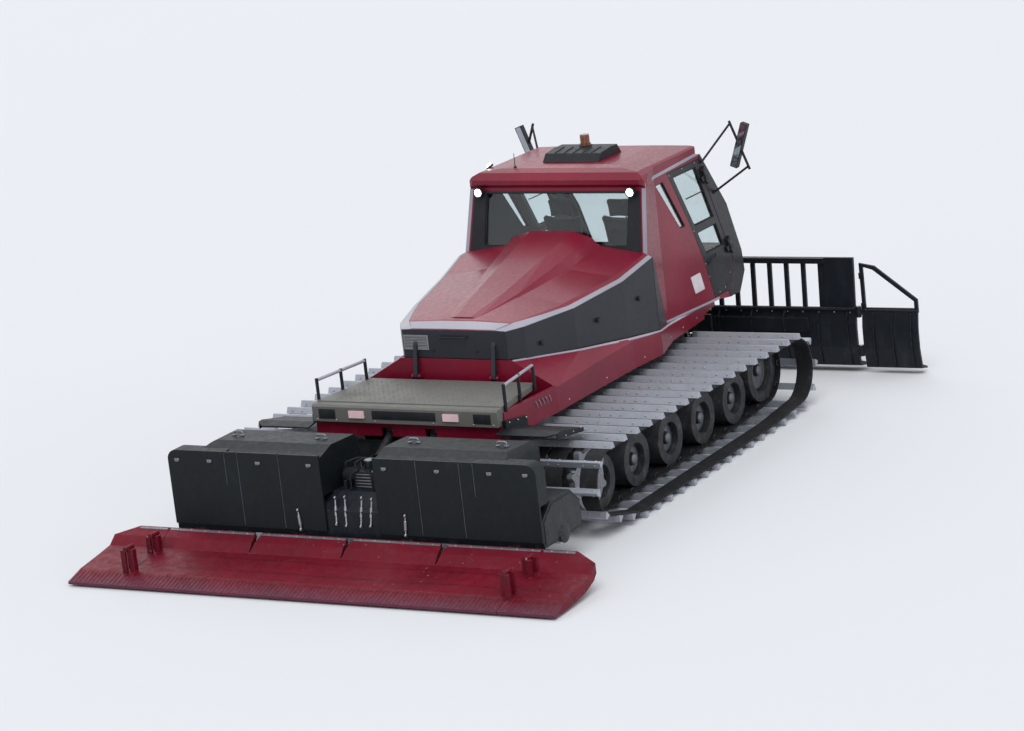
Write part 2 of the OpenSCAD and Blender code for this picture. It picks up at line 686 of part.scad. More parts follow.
// Lamps on the nose: x, y, z and radius
nose_lamps = [[3085, 560, 1385, 62], [3085, 730, 1385, 62]];
module work_lamps() {
  x = rear_wall_x(lamp_z);
  placed() color([0.9, 0.9, 0.85]) both_sides() {
    translate([x - 80, lamp_y, lamp_z]) rotate([0, 90, 0]) cylinder(h = 45, r = 50);
    side_slab([[x - 50, lamp_z - 30], [rear_wall_x(lamp_z - 30) - seat_gap, lamp_z - 30],
      [rear_wall_x(lamp_z + 30) - seat_gap, lamp_z + 30], [x - 50, lamp_z + 30]],
      lamp_y - 20, lamp_y + 20);
    for (l = nose_lamps) translate([l[0], l[1], l[2]]) rotate([0, 82.6, 0]) lamp_body(l[3]);
  }
}
module lamp_body(r) {
  translate([0, 0, seat_gap]) cylinder(h = 34, r = r);
}
mirror_x = 2600;
// Arms of a mirror: x and z of the foot on the cab, y and z of the outer end
mirror_arms = [[2300, 2650, 1215, 3010], [2540, 2270, 1390, 2540]];
module mirrors() {
  placed() color(black) both_sides() {
    for (arm = mirror_arms) {
      bar_y(arm[0], arm[1], cab_half + seat_gap, cab_half + 16, 22);
      rod([arm[0], cab_half + 14, arm[1]], [mirror_x, arm[2], arm[3]], 12);
    }
    rod([mirror_x, 1200, 3030], [mirror_x, 1395, 2500], 14);
    translate([mirror_x - 30, 1300, 2765]) rotate([-20, 0, 0]) translate([0, -40, -250])
      cube([70, 80, 500]);
  }
}

// Panels that carry the hood's dark band forward along the cab
fairing_front = 1130;
fairing_edge = 6;
module side_fairings() {
  rear = cab_rear + 1;
  placed() color(charcoal) both_sides() intersection() {
    side_slab([[rear, side_line_z(rear) + seat_gap], [rear, band_top],
      [cab_rear + 50, band_top - 30], [fairing_front, side_line_z(fairing_front) + seat_gap]],
      cab_half, body_rows[3][1]);
    linear_extrude(height = 4000) polygon([
      [cab_rear - 10, cab_rear_half + seat_gap], [cab_rear - 10, band_half],
      [fairing_front, along([cab_rear - 10, cab_rear_half], [spread_end, cab_half],
        fairing_front) + seat_gap + fairing_edge],
      [fairing_front, along([cab_rear - 10, cab_rear_half], [spread_end, cab_half],
        fairing_front) + seat_gap]]);
  }
}

// Load deck and its rails
deck_middle = -(deck_front + deck_rear) / 2;
function deck_side(x) = along([-deck_front, deck_front_half], [-deck_rear, deck_half], x);
lip_bottom = deck_top - 180;
lip_rear = -deck_rear - 110;
module load_deck() {
  placed() color(grey) {
    difference() {
      translate([0, 0, deck_top - deck_thickness]) linear_extrude(height = deck_thickness)
        polygon([[-deck_rear, -deck_half], [-deck_front, -deck_front_half],
          [-deck_front, deck_front_half], [-deck_rear, deck_half]]);
      for (i = [-1, 1], j = [-1, 1])
        translate([deck_middle + i * tie_spacing_x / 2, j * tie_spacing_y / 2, 0])
          cylinder(h = 2000, r = tie_hole_radius);
    }
    both_sides() translate([-2350, tub_half - 60, tub_top + seat_gap])
      cube([600, 60, deck_top - deck_thickness - tub_top]);
    side_slab([[lip_rear, lip_bottom], [lip_rear + 90, lip_bottom], [-deck_rear, lip_bottom + 90],
      [-deck_rear, deck_top - 10], [lip_rear + 20, deck_top - 10], [lip_rear, deck_top - 30]],
      -deck_half, deck_half);
  }
}
// Posts of one rail: x
rail_posts = [-1700, -2080, -2450];
rail_radius = 17;
module deck_rails() {
  function rail_y(x) = deck_side(x) + seat_gap + rail_radius + 1;
  placed() color(black) both_sides() {
    for (x = rail_posts)
      rod([x, rail_y(x), deck_top - deck_thickness], [x, rail_y(x), rail_top], rail_radius);
    rod([rail_posts[2] - 8, rail_y(rail_posts[2]), rail_top - rail_radius],
      [rail_posts[0] + 8, rail_y(rail_posts[0]), rail_top - rail_radius], rail_radius - 3);
  }
}
module tail_lamps() {
  placed() color([0.85, 0.6, 0.6]) both_sides()
    translate([lip_rear - 20, 450, lip_bottom + 50]) cube([20 - seat_gap, 170, 70]);
}
// Guards over the rear ends of the tracks, held on the body's side
guard_plate = 14;
guard_reach = 1700;
module track_guards() {
  inner = body_rear_half + seat_gap;
  end = body_rear - 150;
  crest = body_rear - 10;
  front = body_rear + 430;
  placed() color(black) both_sides() intersection() {
    union() {
      side_slab([[end, 1070], [crest, 1090], [front, 1000], [front, 1000 - guard_plate],
        [crest, 1090 - guard_plate], [end, 1070 - guard_plate]], inner - 40, guard_reach);
      side_slab([[end, 1070], [crest, 1090], [front, 1000], [front, 960], [crest, 1020],
        [end, 1010]], guard_reach - guard_plate, guard_reach);
      side_slab([[crest + 15, 1088], [crest + 15, 1160], [front - 10, 1100], [front - 10, 1000]],
        inner - 40, inner + 40);
    }
    linear_extrude(height = 3000) polygon([
      [end - 100, inner], [body_rear, inner],
      [line_high[0] + 10, body_rows[0][1] + seat_gap], [line_high[0] + 10, guard_reach],
      [end + 80, guard_reach], [end - 100, guard_reach - 220]]);
  }
}

// Hood: each row is x, half width and height at the stripe's outer edge, at its inner edge and
// at the flat crown
hood_front = cab_rear - hood_gap;
band_half = cab_rear_half + band_outset;
hood_rows = [
  [hood_front, band_half, band_top, 1065, 2042, 330, 2150],
  [100, 1080, 1880, 985, 1924, 300, 2025],
  [-700, 930, 1800, 815, 1845, 260, 1915],
  [-1350, 720, 1775, 600, 1812, 200, 1832],
  [-hood_rear, 600, 1765, 480, 1772, 150, 1775]];
module hood_slice(r, inset, drop) {
  translate([r[0], 0, 0]) rotate([90, 0, 90]) linear_extrude(height = 0.5)
    polygon([[-r[1] + inset, r[2] - drop], [-r[3] + inset, r[4] - inset], [-r[5], r[6] - inset],
      [r[5], r[6] - inset], [r[3] - inset, r[4] - inset], [r[1] - inset, r[2] - drop]]);
}
module hood_solid(inset, drop) {
  for (i = [0 : len(hood_rows) - 2]) hull() {
    hood_slice(hood_rows[i], inset, drop);
    hood_slice(hood_rows[i + 1], inset, drop);
  }
}
// Raised middle over the engine: x, half width and height of its foot, of its side and of its top
hump_rows = [
  [hood_front, 600, 2060, 470, 2205, 250, 2275],
  [100, 520, 1940, 400, 2085, 220, 2145],
  [-650, 400, 1850, 300, 1940, 170, 1975],
  [-1300, 230, 1790, 170, 1836, 90, 1848]];
module hump_slice(r) {
  translate([r[0], 0, 0]) rotate([90, 0, 90]) linear_extrude(height = 0.5)
    polygon([[-r[1], r[2]], [-r[3], r[4]], [-r[5], r[6]], [r[5], r[6]], [r[3], r[4]],
      [r[1], r[2]]]);
}
module hood_panel() {
  placed() color(red) difference() {
    union() {
      hood_solid(0, 0);
      for (i = [0 : len(hump_rows) - 2]) hull() {
        hump_slice(hump_rows[i]);
        hump_slice(hump_rows[i + 1]);
      }
    }
    translate([hood_skin, 0, 0]) hood_solid(hood_skin, hood_skin + 10);
  }
}
// Band round the hood, from the stripe down to the light line
function band_ring(d) = concat([for (r = hood_rows) [max(r[0], d - hood_rear), r[1] - d]],
  [for (i = [len(hood_rows) - 1 : -1 : 0])
    [max(hood_rows[i][0], d - hood_rear), d - hood_rows[i][1]]]);
module hood_skirt() {
  lift = move_gap + seat_gap;
  placed() color(charcoal) {
    intersection() {
      linear_extrude(height = 3000) difference() {
        polygon(band_ring(0));
        polygon(concat([[hood_front + 10, band_half - hood_skin]], band_ring(hood_skin),
          [[hood_front + 10, hood_skin - band_half]]));
      }
      side_slab(concat([for (r = hood_rows) [r[0], r[2] - seat_gap]],
        [[-hood_rear, side_line_z(-hood_rear) + lift],
        [hood_front, side_line_z(hood_front) + lift]]), -1200, 1200);
    }
    both_sides() hood_arm();
  }
}
hood_arm_y = 450;
hood_pin = 12;
module hood_arm() {
  behind = line_high[0] - move_gap - 4;
  foot = side_line_z(-hood_rear) + move_gap + 6;
  side_slab([[-hood_rear + 5, 1660], [-hood_rear - 25, 1620], [-hood_hinge_x - 22, 1320],
    [-hood_hinge_x - 22, hood_hinge_z], [-hood_hinge_x + 22, hood_hinge_z], [behind, 1380],
    [behind, foot], [-hood_rear + 5, foot]], hood_arm_y - 20, hood_arm_y + 20);
  bar_y(-hood_hinge_x, hood_hinge_z, hood_arm_y - 20, hood_arm_y + 20, 24);
  bar_y(-hood_hinge_x, hood_hinge_z, hood_arm_y - 54, hood_arm_y + 54, hood_pin);
}

// Blade linkage: eyes of the lower arms and the level links on the blade's head
push_eye = [3080, 440];
level_eye = [push_eye[0] + level_pivot[0] - push_pivot[0],
  push_eye[1] + level_pivot[1] - push_pivot[1]];
front_lift_eye = [2800, 590];
module push_frame() {
  placed() color(black) both_sides() {
    link(push_pivot, push_eye, push_arm_y - push_arm_width / 2, push_arm_y + push_arm_width / 2,
      50);
    lug(push_pivot, push_arm_y, push_arm_width);
    lug(push_eye, push_arm_y, push_arm_width);
    translate([2700, 0, 480]) rotate([0, 11, 0]) translate([-60, 0, -40])
      cube([120, push_arm_y, 80]);
    for (side = [-1, 1]) translate([0, front_lift_y + side * 45 - 8, 0])
      side_slab([[2740, 450], [2860, 450], [2840, 620], [2760, 620]], 0, 16);
  }
}
module level_links() {
  placed() color(steel) both_sides() {
    link(level_pivot, level_eye, level_link_y - level_link_width / 2,
      level_link_y + level_link_width / 2, 34);
    lug(level_pivot, level_link_y, level_link_width);
    lug(level_eye, level_link_y, level_link_width);
  }
}
swing_x = 3250;
module blade_head() {
  placed() color(black) {
    both_sides() {
      ears(push_eye, push_arm_y, push_arm_width, 3170);
      ears(level_eye, level_link_y, level_link_width, 3170);
      translate([3150, push_arm_y - 75, 380]) cube([30, 150, 120]);
      translate([3150, 0, 380]) cube([30, push_arm_y, 360]);
    }
    for (z = [430, 640]) difference() {
      union() {
        translate([3170, -70, z]) cube([swing_x - 3170, 140, 40]);
        translate([swing_x, 0, z]) cylinder(h = 40, r = 70);
      }
      translate([swing_x, 0, z - 1]) cylinder(h = 42, r = pivot_pin + pin_play);
    }
  }
}
module blade_swing() {
  placed() color(black) {
    translate([swing_x, 0, 424]) cylinder(h = 262, r = pivot_pin);
    translate([swing_x, 0, 476]) cylinder(h = 158, r = 62);
    translate([swing_x, -60, 476]) cube([110, 120, 158]);
    translate([swing_x + 90, -160, 400]) cube([35, 320, 300]);
    translate([swing_x + 120, 0, roll_z]) rotate([0, 90, 0]) cylinder(h = 80, r = roll_pin);
  }
}
roll_z = 555;
roll_pin = 60;
// Grille over the board: half its width, and its upright slats on each side of the middle one
grille_half = blade_half - 350;
slat_pairs = 8;
slat_half = 25;
slat_step = (grille_half - 60) / slat_pairs;
module blade_board() {
  placed() color(black) {
    // Curved board with its cutting edge
    side_slab([[3600, 100], [3560, 300], [3556, 500], [3585, board_top], [3560, board_top],
      [3520, 560], [3520, 300], [3570, 90]], -blade_half, blade_half);
    side_slab([[3575, 80], [front_reach, blade_bottom], [front_reach, blade_bottom + 20],
      [3600, 130], [3570, 130]], -blade_half, blade_half);
    // Upper grille of upright slats
    side_slab([[3560, blade_top - 60], [3640, blade_top - 60], [3640, blade_top],
      [3560, blade_top]], -grille_half, grille_half);
    for (i = [-slat_pairs : slat_pairs]) side_slab([[3562, board_top - 20],
      [3592, board_top - 20], [3630, blade_top - 50], [3600, blade_top - 50]],
      i * slat_step - slat_half, i * slat_step + slat_half);
    both_sides() side_slab([[3560, board_top - 20], [3590, board_top - 20], [3640, blade_top],
      [3600, blade_top]], grille_half - 40, blade_half - 10);
    // Back frame with the roll bearing
    translate([3480, 550 - blade_half, 480]) cube([60, 2 * (blade_half - 550), 150]);
    difference() {
      translate([swing_x + 131, 0, roll_z]) rotate([0, 90, 0]) cylinder(h = 110, r = 110);
      translate([swing_x + 130, 0, roll_z]) rotate([0, 90, 0])
        cylinder(h = 80, r = roll_pin + pin_play);
    }
    both_sides() wing_hinge_fixed();
  }
}
wing_pivot = [3540, blade_half + 35];
wing_knuckles = [260, 700];
module wing_hinge_fixed() {
  for (z = wing_knuckles) {
    translate([wing_pivot[0], wing_pivot[1], z - 60]) cylinder(h = 120, r = 20);
    for (dz = [-60, 34]) translate([wing_pivot[0], wing_pivot[1], z + dz]) {
      cylinder(h = 26, r = 32);
      translate([-16, -50, 0]) cube([32, 40, 26]);
    }
  }
}
// Plan of a wing's cutting lip, mitred to clear the blade's lip when the wing is folded forward
wing_fold = 60;
wing_mitre = (wing_pivot[1] - blade_half - move_gap) / cos(wing_fold);
module wing_lip_plan() {
  far = 300;
  translate([wing_pivot[0], wing_pivot[1], 0]) linear_extrude(height = board_top)
    polygon([[-far, 40], [(40 + wing_mitre) / tan(wing_fold), 40],
      [far, far * tan(wing_fold) - wing_mitre], [far, wing_reach], [-far, wing_reach]]);
}
module wing() {
  for (z = wing_knuckles) difference() {
    union() {
      translate([wing_pivot[0], wing_pivot[1], z - 30]) cylinder(h = 60, r = 32);
      translate([wing_pivot[0] - 16, wing_pivot[1], z - 30]) cube([32, 60, 60]);
    }
    translate([wing_pivot[0], wing_pivot[1], z - 31]) cylinder(h = 62, r = 20 + pin_play);
  }
  side_slab([[3580, 90], [3540, 300], [3540, 520], [3570, 700], [3545, 700], [3515, 540],
    [3515, 290], [3555, 70]], wing_pivot[1] + 40, wing_reach);
  intersection() {
    side_slab([[3560, 70], [3700, blade_bottom], [3700, blade_bottom + 20], [3575, 110]],
      wing_pivot[1] + 40, wing_reach);
    wing_lip_plan();
  }
  // Framed window above the wing's board
  translate([3560, 0, 0]) rotate([90, 0, 90]) linear_extrude(height = 30) difference() {
    polygon([[wing_pivot[1] + 40, 690], [wing_pivot[1] + 40, 1240], [wing_pivot[1] + 215, 1210],
      [wing_reach, 840], [wing_reach, 690]]);
    polygon([[wing_pivot[1] + 80, 740], [wing_pivot[1] + 80, 1200], [wing_pivot[1] + 195, 1170],
      [wing_reach - 40, 820], [wing_reach - 40, 740]]);
  }
}
module wing_left() { placed() color(black) wing(); }
module wing_right() { placed() color(black) mirror([0, 1, 0]) wing(); }

// Lift rams: barrel on the chassis, rod towards an eye on the moving frame
barrel_start = ear_radius + 8;
barrel_radius = 42;
rod_radius = 22;
module ram_barrel(from, to, y, length) {
  d = to - from;
  u = d / norm(d);
  lug(from, y, lift_width);
  translate([from[0], y, from[1]]) rotate([0, 90 - atan2(d[1], d[0]), 0])
    difference() {
      union() {
        translate([-30, 2 - lift_width / 2, 0]) cube([60, lift_width - 4, barrel_start + 10]);
        translate([0, 0, barrel_start]) cylinder(h = length - barrel_start, r = barrel_radius);
      }
      translate([0, 0, barrel_start + 40]) cylinder(h = length, r = rod_radius + pin_play);
    }
}
module ram_rod(from, to, y, start) {
  d = to - from;
  translate([from[0], y, from[1]]) rotate([0, 90 - atan2(d[1], d[0]), 0])
    translate([0, 0, start]) cylinder(h = norm(d) - start - 10, r = rod_radius);
  bar_y(to[0], to[1], y - 30, y + 30, 36);
}
front_barrel = 420;
rear_barrel = 370;
module front_lift_barrels() {
  placed() color(black) both_sides()
    ram_barrel(front_lift_pivot, front_lift_eye, front_lift_y, front_barrel);
}
module front_lift_rods() {
  placed() color(steel) both_sides()
    ram_rod(front_lift_pivot, front_lift_eye, front_lift_y, 300);
}
rear_lift_eye = [-2870, 740];
module rear_lift_barrels() {
  placed() color(black) both_sides()
    ram_barrel(rear_lift_pivot, rear_lift_eye, rear_lift_y, rear_barrel);
}
module rear_lift_rods() {
  placed() color(steel) both_sides()
    ram_rod(rear_lift_pivot, rear_lift_eye, rear_lift_y, 230);
}

// Tiller: lift frame, housing over two rotors, tall black covers, red finishing comb
tiller_head = [-2900, 620];
tiller_roll_z = 620;
roll_shaft = 45;
module tiller_frame() {
  placed() color(black) {
    both_sides() {
      link(tiller_pivot, tiller_head, tiller_arm_y - tiller_arm_width / 2,
        tiller_arm_y + tiller_arm_width / 2, 50);
      lug(tiller_pivot, tiller_arm_y, tiller_arm_width);
      for (side = [-1, 1]) translate([0, rear_lift_y + side * 45 - 8, 0])
        side_slab([[-2935, 600], [-2810, 600], [-2830, 770], [-2910, 770]], 0, 16);
    }
    translate([-2940, -tiller_arm_y, 560]) cube([80, 2 * tiller_arm_y, 120]);
    translate([-3080, 0, tiller_roll_z]) rotate([0, 90, 0]) cylinder(h = 150, r = roll_shaft);
  }
}
housing_top = 705;
housing_outer = [[-2960, 300], [-2960, 560], [-3130, housing_top], [-3500, housing_top],
  [-3690, 560], [-3690, 300]];
housing_inner = [[-2990, 299], [-2990, 550], [-3145, 675], [-3488, 675], [-3660, 550],
  [-3660, 299]];
module tiller_housing() {
  placed() color(black) {
    difference() {
      union() {
        side_slab(housing_outer, -tiller_half, tiller_half);
        translate([-3105, 0, tiller_roll_z]) rotate([0, 90, 0]) cylinder(h = 151, r = 80);
        tiller_drive();
        both_sides() {
          bar_y(-rotor_x, rotor_z, 80, 130, bearing_radius);
          bar_y(-rotor_x, rotor_z, tiller_half - 40, tiller_half, bearing_radius);
        }
      }
      both_sides() bar_y(-rotor_x, rotor_z, 100, tiller_half - 10, rotor_shaft + pin_play);
      both_sides() side_slab(housing_inner, 130, tiller_half - 40);
      translate([-3090, 0, tiller_roll_z]) rotate([0, 90, 0])
        cylinder(h = 160, r = roll_shaft + pin_play);
    }
    for (y = comb_hinges) {
      translate([comb_pivot[0], y - 30, comb_pivot[1] - 22])
        cube([housing_outer[5][0] - comb_pivot[0] + 5, 60, 44]);
      bar_y(comb_pivot[0], comb_pivot[1], y - 30, y + 30, 24);
      bar_y(comb_pivot[0], comb_pivot[1], y - 56, y + 56, comb_pin);
    }
  }
}
// Covers over the housing: a rear apron with end boxes, and middle blocks ahead of them. The
// middle is open over the drive.
apron_rear = -3715;
apron_bottom = 360;
box_front = -3540;
drive_half = 300;
cover_seams = [760, 1230];
// Outline across the machine, round at its upper outer corner
module cover_outline(inner, outer, low, top) {
  translate([inner, low]) square([outer - inner, top - cover_corner - low]);
  translate([inner, low]) square([outer - inner - cover_corner, top - low]);
  translate([outer - cover_corner, top - cover_corner]) circle(r = cover_corner);
}
module across(x0, x1) {
  translate([x0, 0, 0]) rotate([90, 0, 90]) linear_extrude(height = x1 - x0) children();
}
module tiller_covers() {
  bottom = housing_top + seat_gap;
  rest = housing_outer[4][0] - seat_gap;
  placed() color(black) both_sides() difference() {
    union() {
      across(apron_rear, rest)
        cover_outline(drive_half, tiller_half, apron_bottom, cover_top);
      across(rest - 5, box_front) cover_outline(crown_reach - 320, tiller_half, bottom, cover_top);
      intersection() {
        across(rest - 5, -3000) cover_outline(drive_half, crown_reach, bottom, crown_top);
        side_slab([[rest - 5, bottom], [rest - 5, cover_top - 25], [box_front - 60, cover_top],
          [-3470, crown_top], [-3060, crown_top - 15], [-3000, crown_top - 70], [-3000, bottom]],
          0, tiller_half);
      }
    }
    for (y = cover_seams) translate([apron_rear - 1, y, apron_bottom - 1]) cube([9, 14, 2000]);
    translate([apron_rear - 1, crown_reach - 320, bottom + 60]) cube([9, 14, 2000]);
  }
}
// Motors and gear case that stand on the housing between the covers
module tiller_drive() {
  translate([-3430, -110, housing_top - 20]) cube([260, 220, 190]);
  both_sides() bar_y(-3340, housing_top + 110, 100, 250, 75);
  both_sides() bar_y(-3240, housing_top + 60, 100, 180, 45);
  translate([-3300, 0, housing_top + 160]) cylinder(h = 90, r = 55);
  both_sides() translate([-3480, 170, housing_top - 20]) cube([120, 30, 110]);
}
rotor_shaft = 35;
bearing_radius = 85;
module rotor() {
  bar_y(-rotor_x, rotor_z, 104, tiller_half - 14, rotor_shaft);
  bar_y(-rotor_x, rotor_z, 145, tiller_half - 55, rotor_tube);
  for (i = [0 : tine_count - 1])
    translate([-rotor_x, 175 + i * (tiller_half - 270) / tine_count, rotor_z])
      rotate([0, i * 77, 0]) rotate([90, 0, 0]) linear_extrude(height = 22)
        polygon([[rotor_tube - 10, -26], [tine_reach, -4], [tine_reach, 16],
          [rotor_tube - 10, 26]]);
}
module rotor_left() { placed() color(steel) rotor(); }
module rotor_right() { placed() color(steel) mirror([0, 1, 0]) rotor(); }
comb_pivot = [-3735, 300];
comb_hinges = [-1750, -600, 600, 1750];
comb_pin = 12;
comb_split = 2083;
// Notches between the comb's sheets
comb_notches = [-1040, 0, 1040];
comb_profile = [[-3775, 330], [-3900, 270], [-4000, 190], [-4180, 160], [-4500, 115],
  [-rear_reach, 50], [-rear_reach, 25], [-4480, 30], [-4150, 60], [-3960, 120], [-3860, 210],
  [-3775, 280]];
// Hinges of the comb's outer parts: each row is x and the comb's upper face there
fold_hinges = [[-4060, 175], [-4480, 112]];
fold_z = 346;
fold_pin = 10;
fold_knuckle = 24;
module comb_middle() {
  placed() color(red) {
    difference() {
      side_slab(comb_profile, move_gap / 2 - comb_split, comb_split - move_gap / 2);
      for (y = comb_notches) linear_extrude(height = 1000)
        polygon([[comb_profile[0][0] + 1, y - 38], [-3990, y - 6], [-3990, y + 6],
          [comb_profile[0][0] + 1, y + 38]]);
    }
    for (y = comb_hinges, side = [-1, 1]) difference() {
      y0 = y + side * 44 - 8;
      union() {
        bar_y(comb_pivot[0], comb_pivot[1], y0, y0 + 16, 26);
        translate([-3785, y0, comb_pivot[1] - 20]) cube([50, 16, 46]);
      }
      bar_y(comb_pivot[0], comb_pivot[1], y0 - 1, y0 + 17, comb_pin + pin_play);
    }
    both_sides() for (h = fold_hinges) {
      translate([h[0] - 30, comb_split, fold_z]) rotate([0, 90, 0])
        cylinder(h = 60, r = fold_knuckle);
      translate([h[0] - 70, comb_split, fold_z]) rotate([0, 90, 0])
        cylinder(h = 140, r = fold_pin);
      translate([h[0] - 30, comb_split - 60, h[1] - 20]) cube([60, 54, fold_z + 10 - h[1]]);
    }
  }
}
module comb_side() {
  intersection() {
    side_slab(comb_profile, comb_split + move_gap / 2, comb_reach);
    linear_extrude(height = 1000) polygon([[-3700, 2000], [-3700, comb_reach - 250],
      [-3775, comb_reach - 240], [-3900, comb_reach], [-5000, comb_reach], [-5000, 2000]]);
  }
  for (h = fold_hinges, side = [-1, 1]) difference() {
    x0 = h[0] + side * 50 - 15;
    union() {
      translate([x0, comb_split, fold_z]) rotate([0, 90, 0]) cylinder(h = 30, r = fold_knuckle);
      translate([x0, comb_split + 8, h[1] - 30]) cube([30, 50, fold_z + 20 - h[1]]);
    }
    translate([x0 - 1, comb_split, fold_z]) rotate([0, 90, 0])
      cylinder(h = 32, r = fold_pin + pin_play);
  }
}
module comb_left() { placed() color(red) comb_side(); }
module comb_right() { placed() color(red) mirror([0, 1, 0]) comb_side(); }

chassis_frame();
engine_block();
lower_body();
cab_shell();
cab_roof();
roof_hatch();
windscreen();
rear_window();
quarter_windows();
dashboard();
seats();
work_lamps();
beacon();
mirrors();
side_fairings();
load_deck();
deck_rails();
tail_lamps();
track_guards();
track_left();
track_right();
tyres();
running_gear();
sprockets();
hood_panel();
hood_skirt();
door_left();
door_right();
door_glass_left();
door_glass_right();
push_frame();
level_links();
blade_head();
blade_swing();
blade_board();
wing_left();
wing_right();
front_lift_barrels();
front_lift_rods();
tiller_frame();
tiller_housing();
tiller_covers();
rotor_left();
rotor_right();
comb_middle();
comb_left();
comb_right();
rear_lift_barrels();
rear_lift_rods();
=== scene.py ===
"""Looks of the snow groomer: materials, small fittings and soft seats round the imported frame."""
import json
import math
from itertools import combinations

import bmesh
import bpy
from mathutils import Matrix, Vector

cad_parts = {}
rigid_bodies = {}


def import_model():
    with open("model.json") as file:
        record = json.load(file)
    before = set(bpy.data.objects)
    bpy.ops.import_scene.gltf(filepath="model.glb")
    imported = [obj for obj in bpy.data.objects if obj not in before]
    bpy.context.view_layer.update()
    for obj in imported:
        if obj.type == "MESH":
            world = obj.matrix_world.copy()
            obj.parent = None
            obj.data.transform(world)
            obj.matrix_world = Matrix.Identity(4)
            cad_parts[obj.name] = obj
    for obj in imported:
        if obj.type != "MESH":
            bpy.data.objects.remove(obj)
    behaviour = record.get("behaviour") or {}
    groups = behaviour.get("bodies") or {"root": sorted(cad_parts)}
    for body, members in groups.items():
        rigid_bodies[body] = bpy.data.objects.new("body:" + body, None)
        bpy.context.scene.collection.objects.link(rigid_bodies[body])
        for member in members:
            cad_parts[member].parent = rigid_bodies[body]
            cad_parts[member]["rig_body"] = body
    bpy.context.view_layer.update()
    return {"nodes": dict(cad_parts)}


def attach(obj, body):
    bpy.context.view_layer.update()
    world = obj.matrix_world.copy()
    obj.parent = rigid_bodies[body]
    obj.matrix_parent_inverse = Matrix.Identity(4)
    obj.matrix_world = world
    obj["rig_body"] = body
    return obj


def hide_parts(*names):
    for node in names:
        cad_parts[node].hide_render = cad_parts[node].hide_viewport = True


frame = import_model()
nodes = frame["nodes"]
# The frame is centred on the machine's box; sizes below count from mid track, as in the part's source
SHIFT = 0.46


# Materials
class Nodes:
    """Short ways to add nodes to a tree."""

    def __init__(self, tree):
        self.tree = tree

    def new(self, kind, **values):
        node = self.tree.nodes.new(kind)
        for key, value in values.items():
            setattr(node, key, value)
        return node

    def put(self, socket, value):
        if isinstance(value, bpy.types.NodeSocket):
            self.tree.links.new(value, socket)
        elif isinstance(value, tuple) and len(value) == 3 and socket.type == "RGBA":
            socket.default_value = (*value, 1)
        else:
            socket.default_value = value

    def fill(self, node, **values):
        for key, value in values.items():
            self.put(node.inputs[key.replace("_", " ")], value)
        return node

    def math(self, operation, a, b=0.0):
        node = self.new("ShaderNodeMath", operation=operation)
        self.put(node.inputs[0], a)
        self.put(node.inputs[1], b)
        return node.outputs[0]

    def times(self, a, b):
        return self.math("MULTIPLY", a, b)


class Shader(Nodes):
    """A node material, its patterns counted in the object's own space."""

    def __init__(self, name):
        self.mat = bpy.data.materials.new(name)
        self.mat.use_nodes = True
        super().__init__(self.mat.node_tree)
        self.bsdf = self.tree.nodes["Principled BSDF"]
        self.coord = self.new("ShaderNodeTexCoord").outputs["Object"]

    def noise(self, scale, detail=4.0, rough=0.55, stretch=None):
        where = self.coord
        if stretch:
            where = self.fill(self.new("ShaderNodeMapping"), Vector=where, Scale=stretch).outputs["Vector"]
        node = self.new("ShaderNodeTexNoise")
        return self.fill(node, Vector=where, Scale=scale, Detail=detail, Roughness=rough).outputs["Fac"]

    def cells(self, scale):
        return self.fill(self.new("ShaderNodeTexVoronoi"), Vector=self.coord, Scale=scale).outputs["Distance"]

    def wave(self, scale, direction, distortion=0.0):
        node = self.new("ShaderNodeTexWave", bands_direction=direction)
        return self.fill(node, Vector=self.coord, Scale=scale, Distortion=distortion).outputs["Fac"]

    def ranged(self, value, low, high, to_low=0.0, to_high=1.0):
        node = self.new("ShaderNodeMapRange", clamp=True)
        return self.fill(node, Value=value, From_Min=low, From_Max=high, To_Min=to_low,
                         To_Max=to_high).outputs["Result"]

    def spots(self, noise, low, high, to_low=0.0, to_high=1.0, stretch=None):
        """Noise of (scale, detail, roughness), cut between low and high."""
        return self.ranged(self.noise(*noise, stretch=stretch), low, high, to_low, to_high)

    def mix(self, factor, a, b):
        node = self.fill(self.new("ShaderNodeMix", data_type="RGBA"), Factor=factor)
        self.put(node.inputs[6], a)
        self.put(node.inputs[7], b)
        return node.outputs[2]

    def faded(self, pattern, color, dark, light):
        """The colour between a darker and a lighter shade of it."""
        return self.mix(pattern, shade(color, dark), shade(color, light))

    def axis(self, index):
        node = self.new("ShaderNodeSeparateXYZ")
        self.put(node.inputs[0], self.coord)
        return node.outputs[index]

    def edges(self):
        """1 along convex and concave edges, 0 on open faces. Keeps the rounded normal for the bump."""
        self.rounded = self.fill(self.new("ShaderNodeBevel", samples=4), Radius=EDGE_RADIUS).outputs["Normal"]
        dot = self.new("ShaderNodeVectorMath", operation="DOT_PRODUCT")
        self.put(dot.inputs[0], self.rounded)
        self.put(dot.inputs[1], self.new("ShaderNodeNewGeometry").outputs["Normal"])
        return self.ranged(dot.outputs["Value"], 0.995, 0.88)

    def rubbed(self):
        """Patches along the edges where hands and boots rub."""
        return self.times(self.edges(), self.spots((30, 5, 0.7), 0.45, 0.65))

    def bump(self, height, strength, distance, normal=None):
        node = self.fill(self.new("ShaderNodeBump"), Height=height, Strength=strength, Distance=distance)
        if normal is not None:
            self.put(node.inputs["Normal"], normal)
        return node.outputs["Normal"]

    def set(self, **values):
        self.fill(self.bsdf, **values)
        return self.mat


EDGE_RADIUS = 0.006


def shade(color, factor):
    return tuple(min(1.0, c * factor) for c in color)


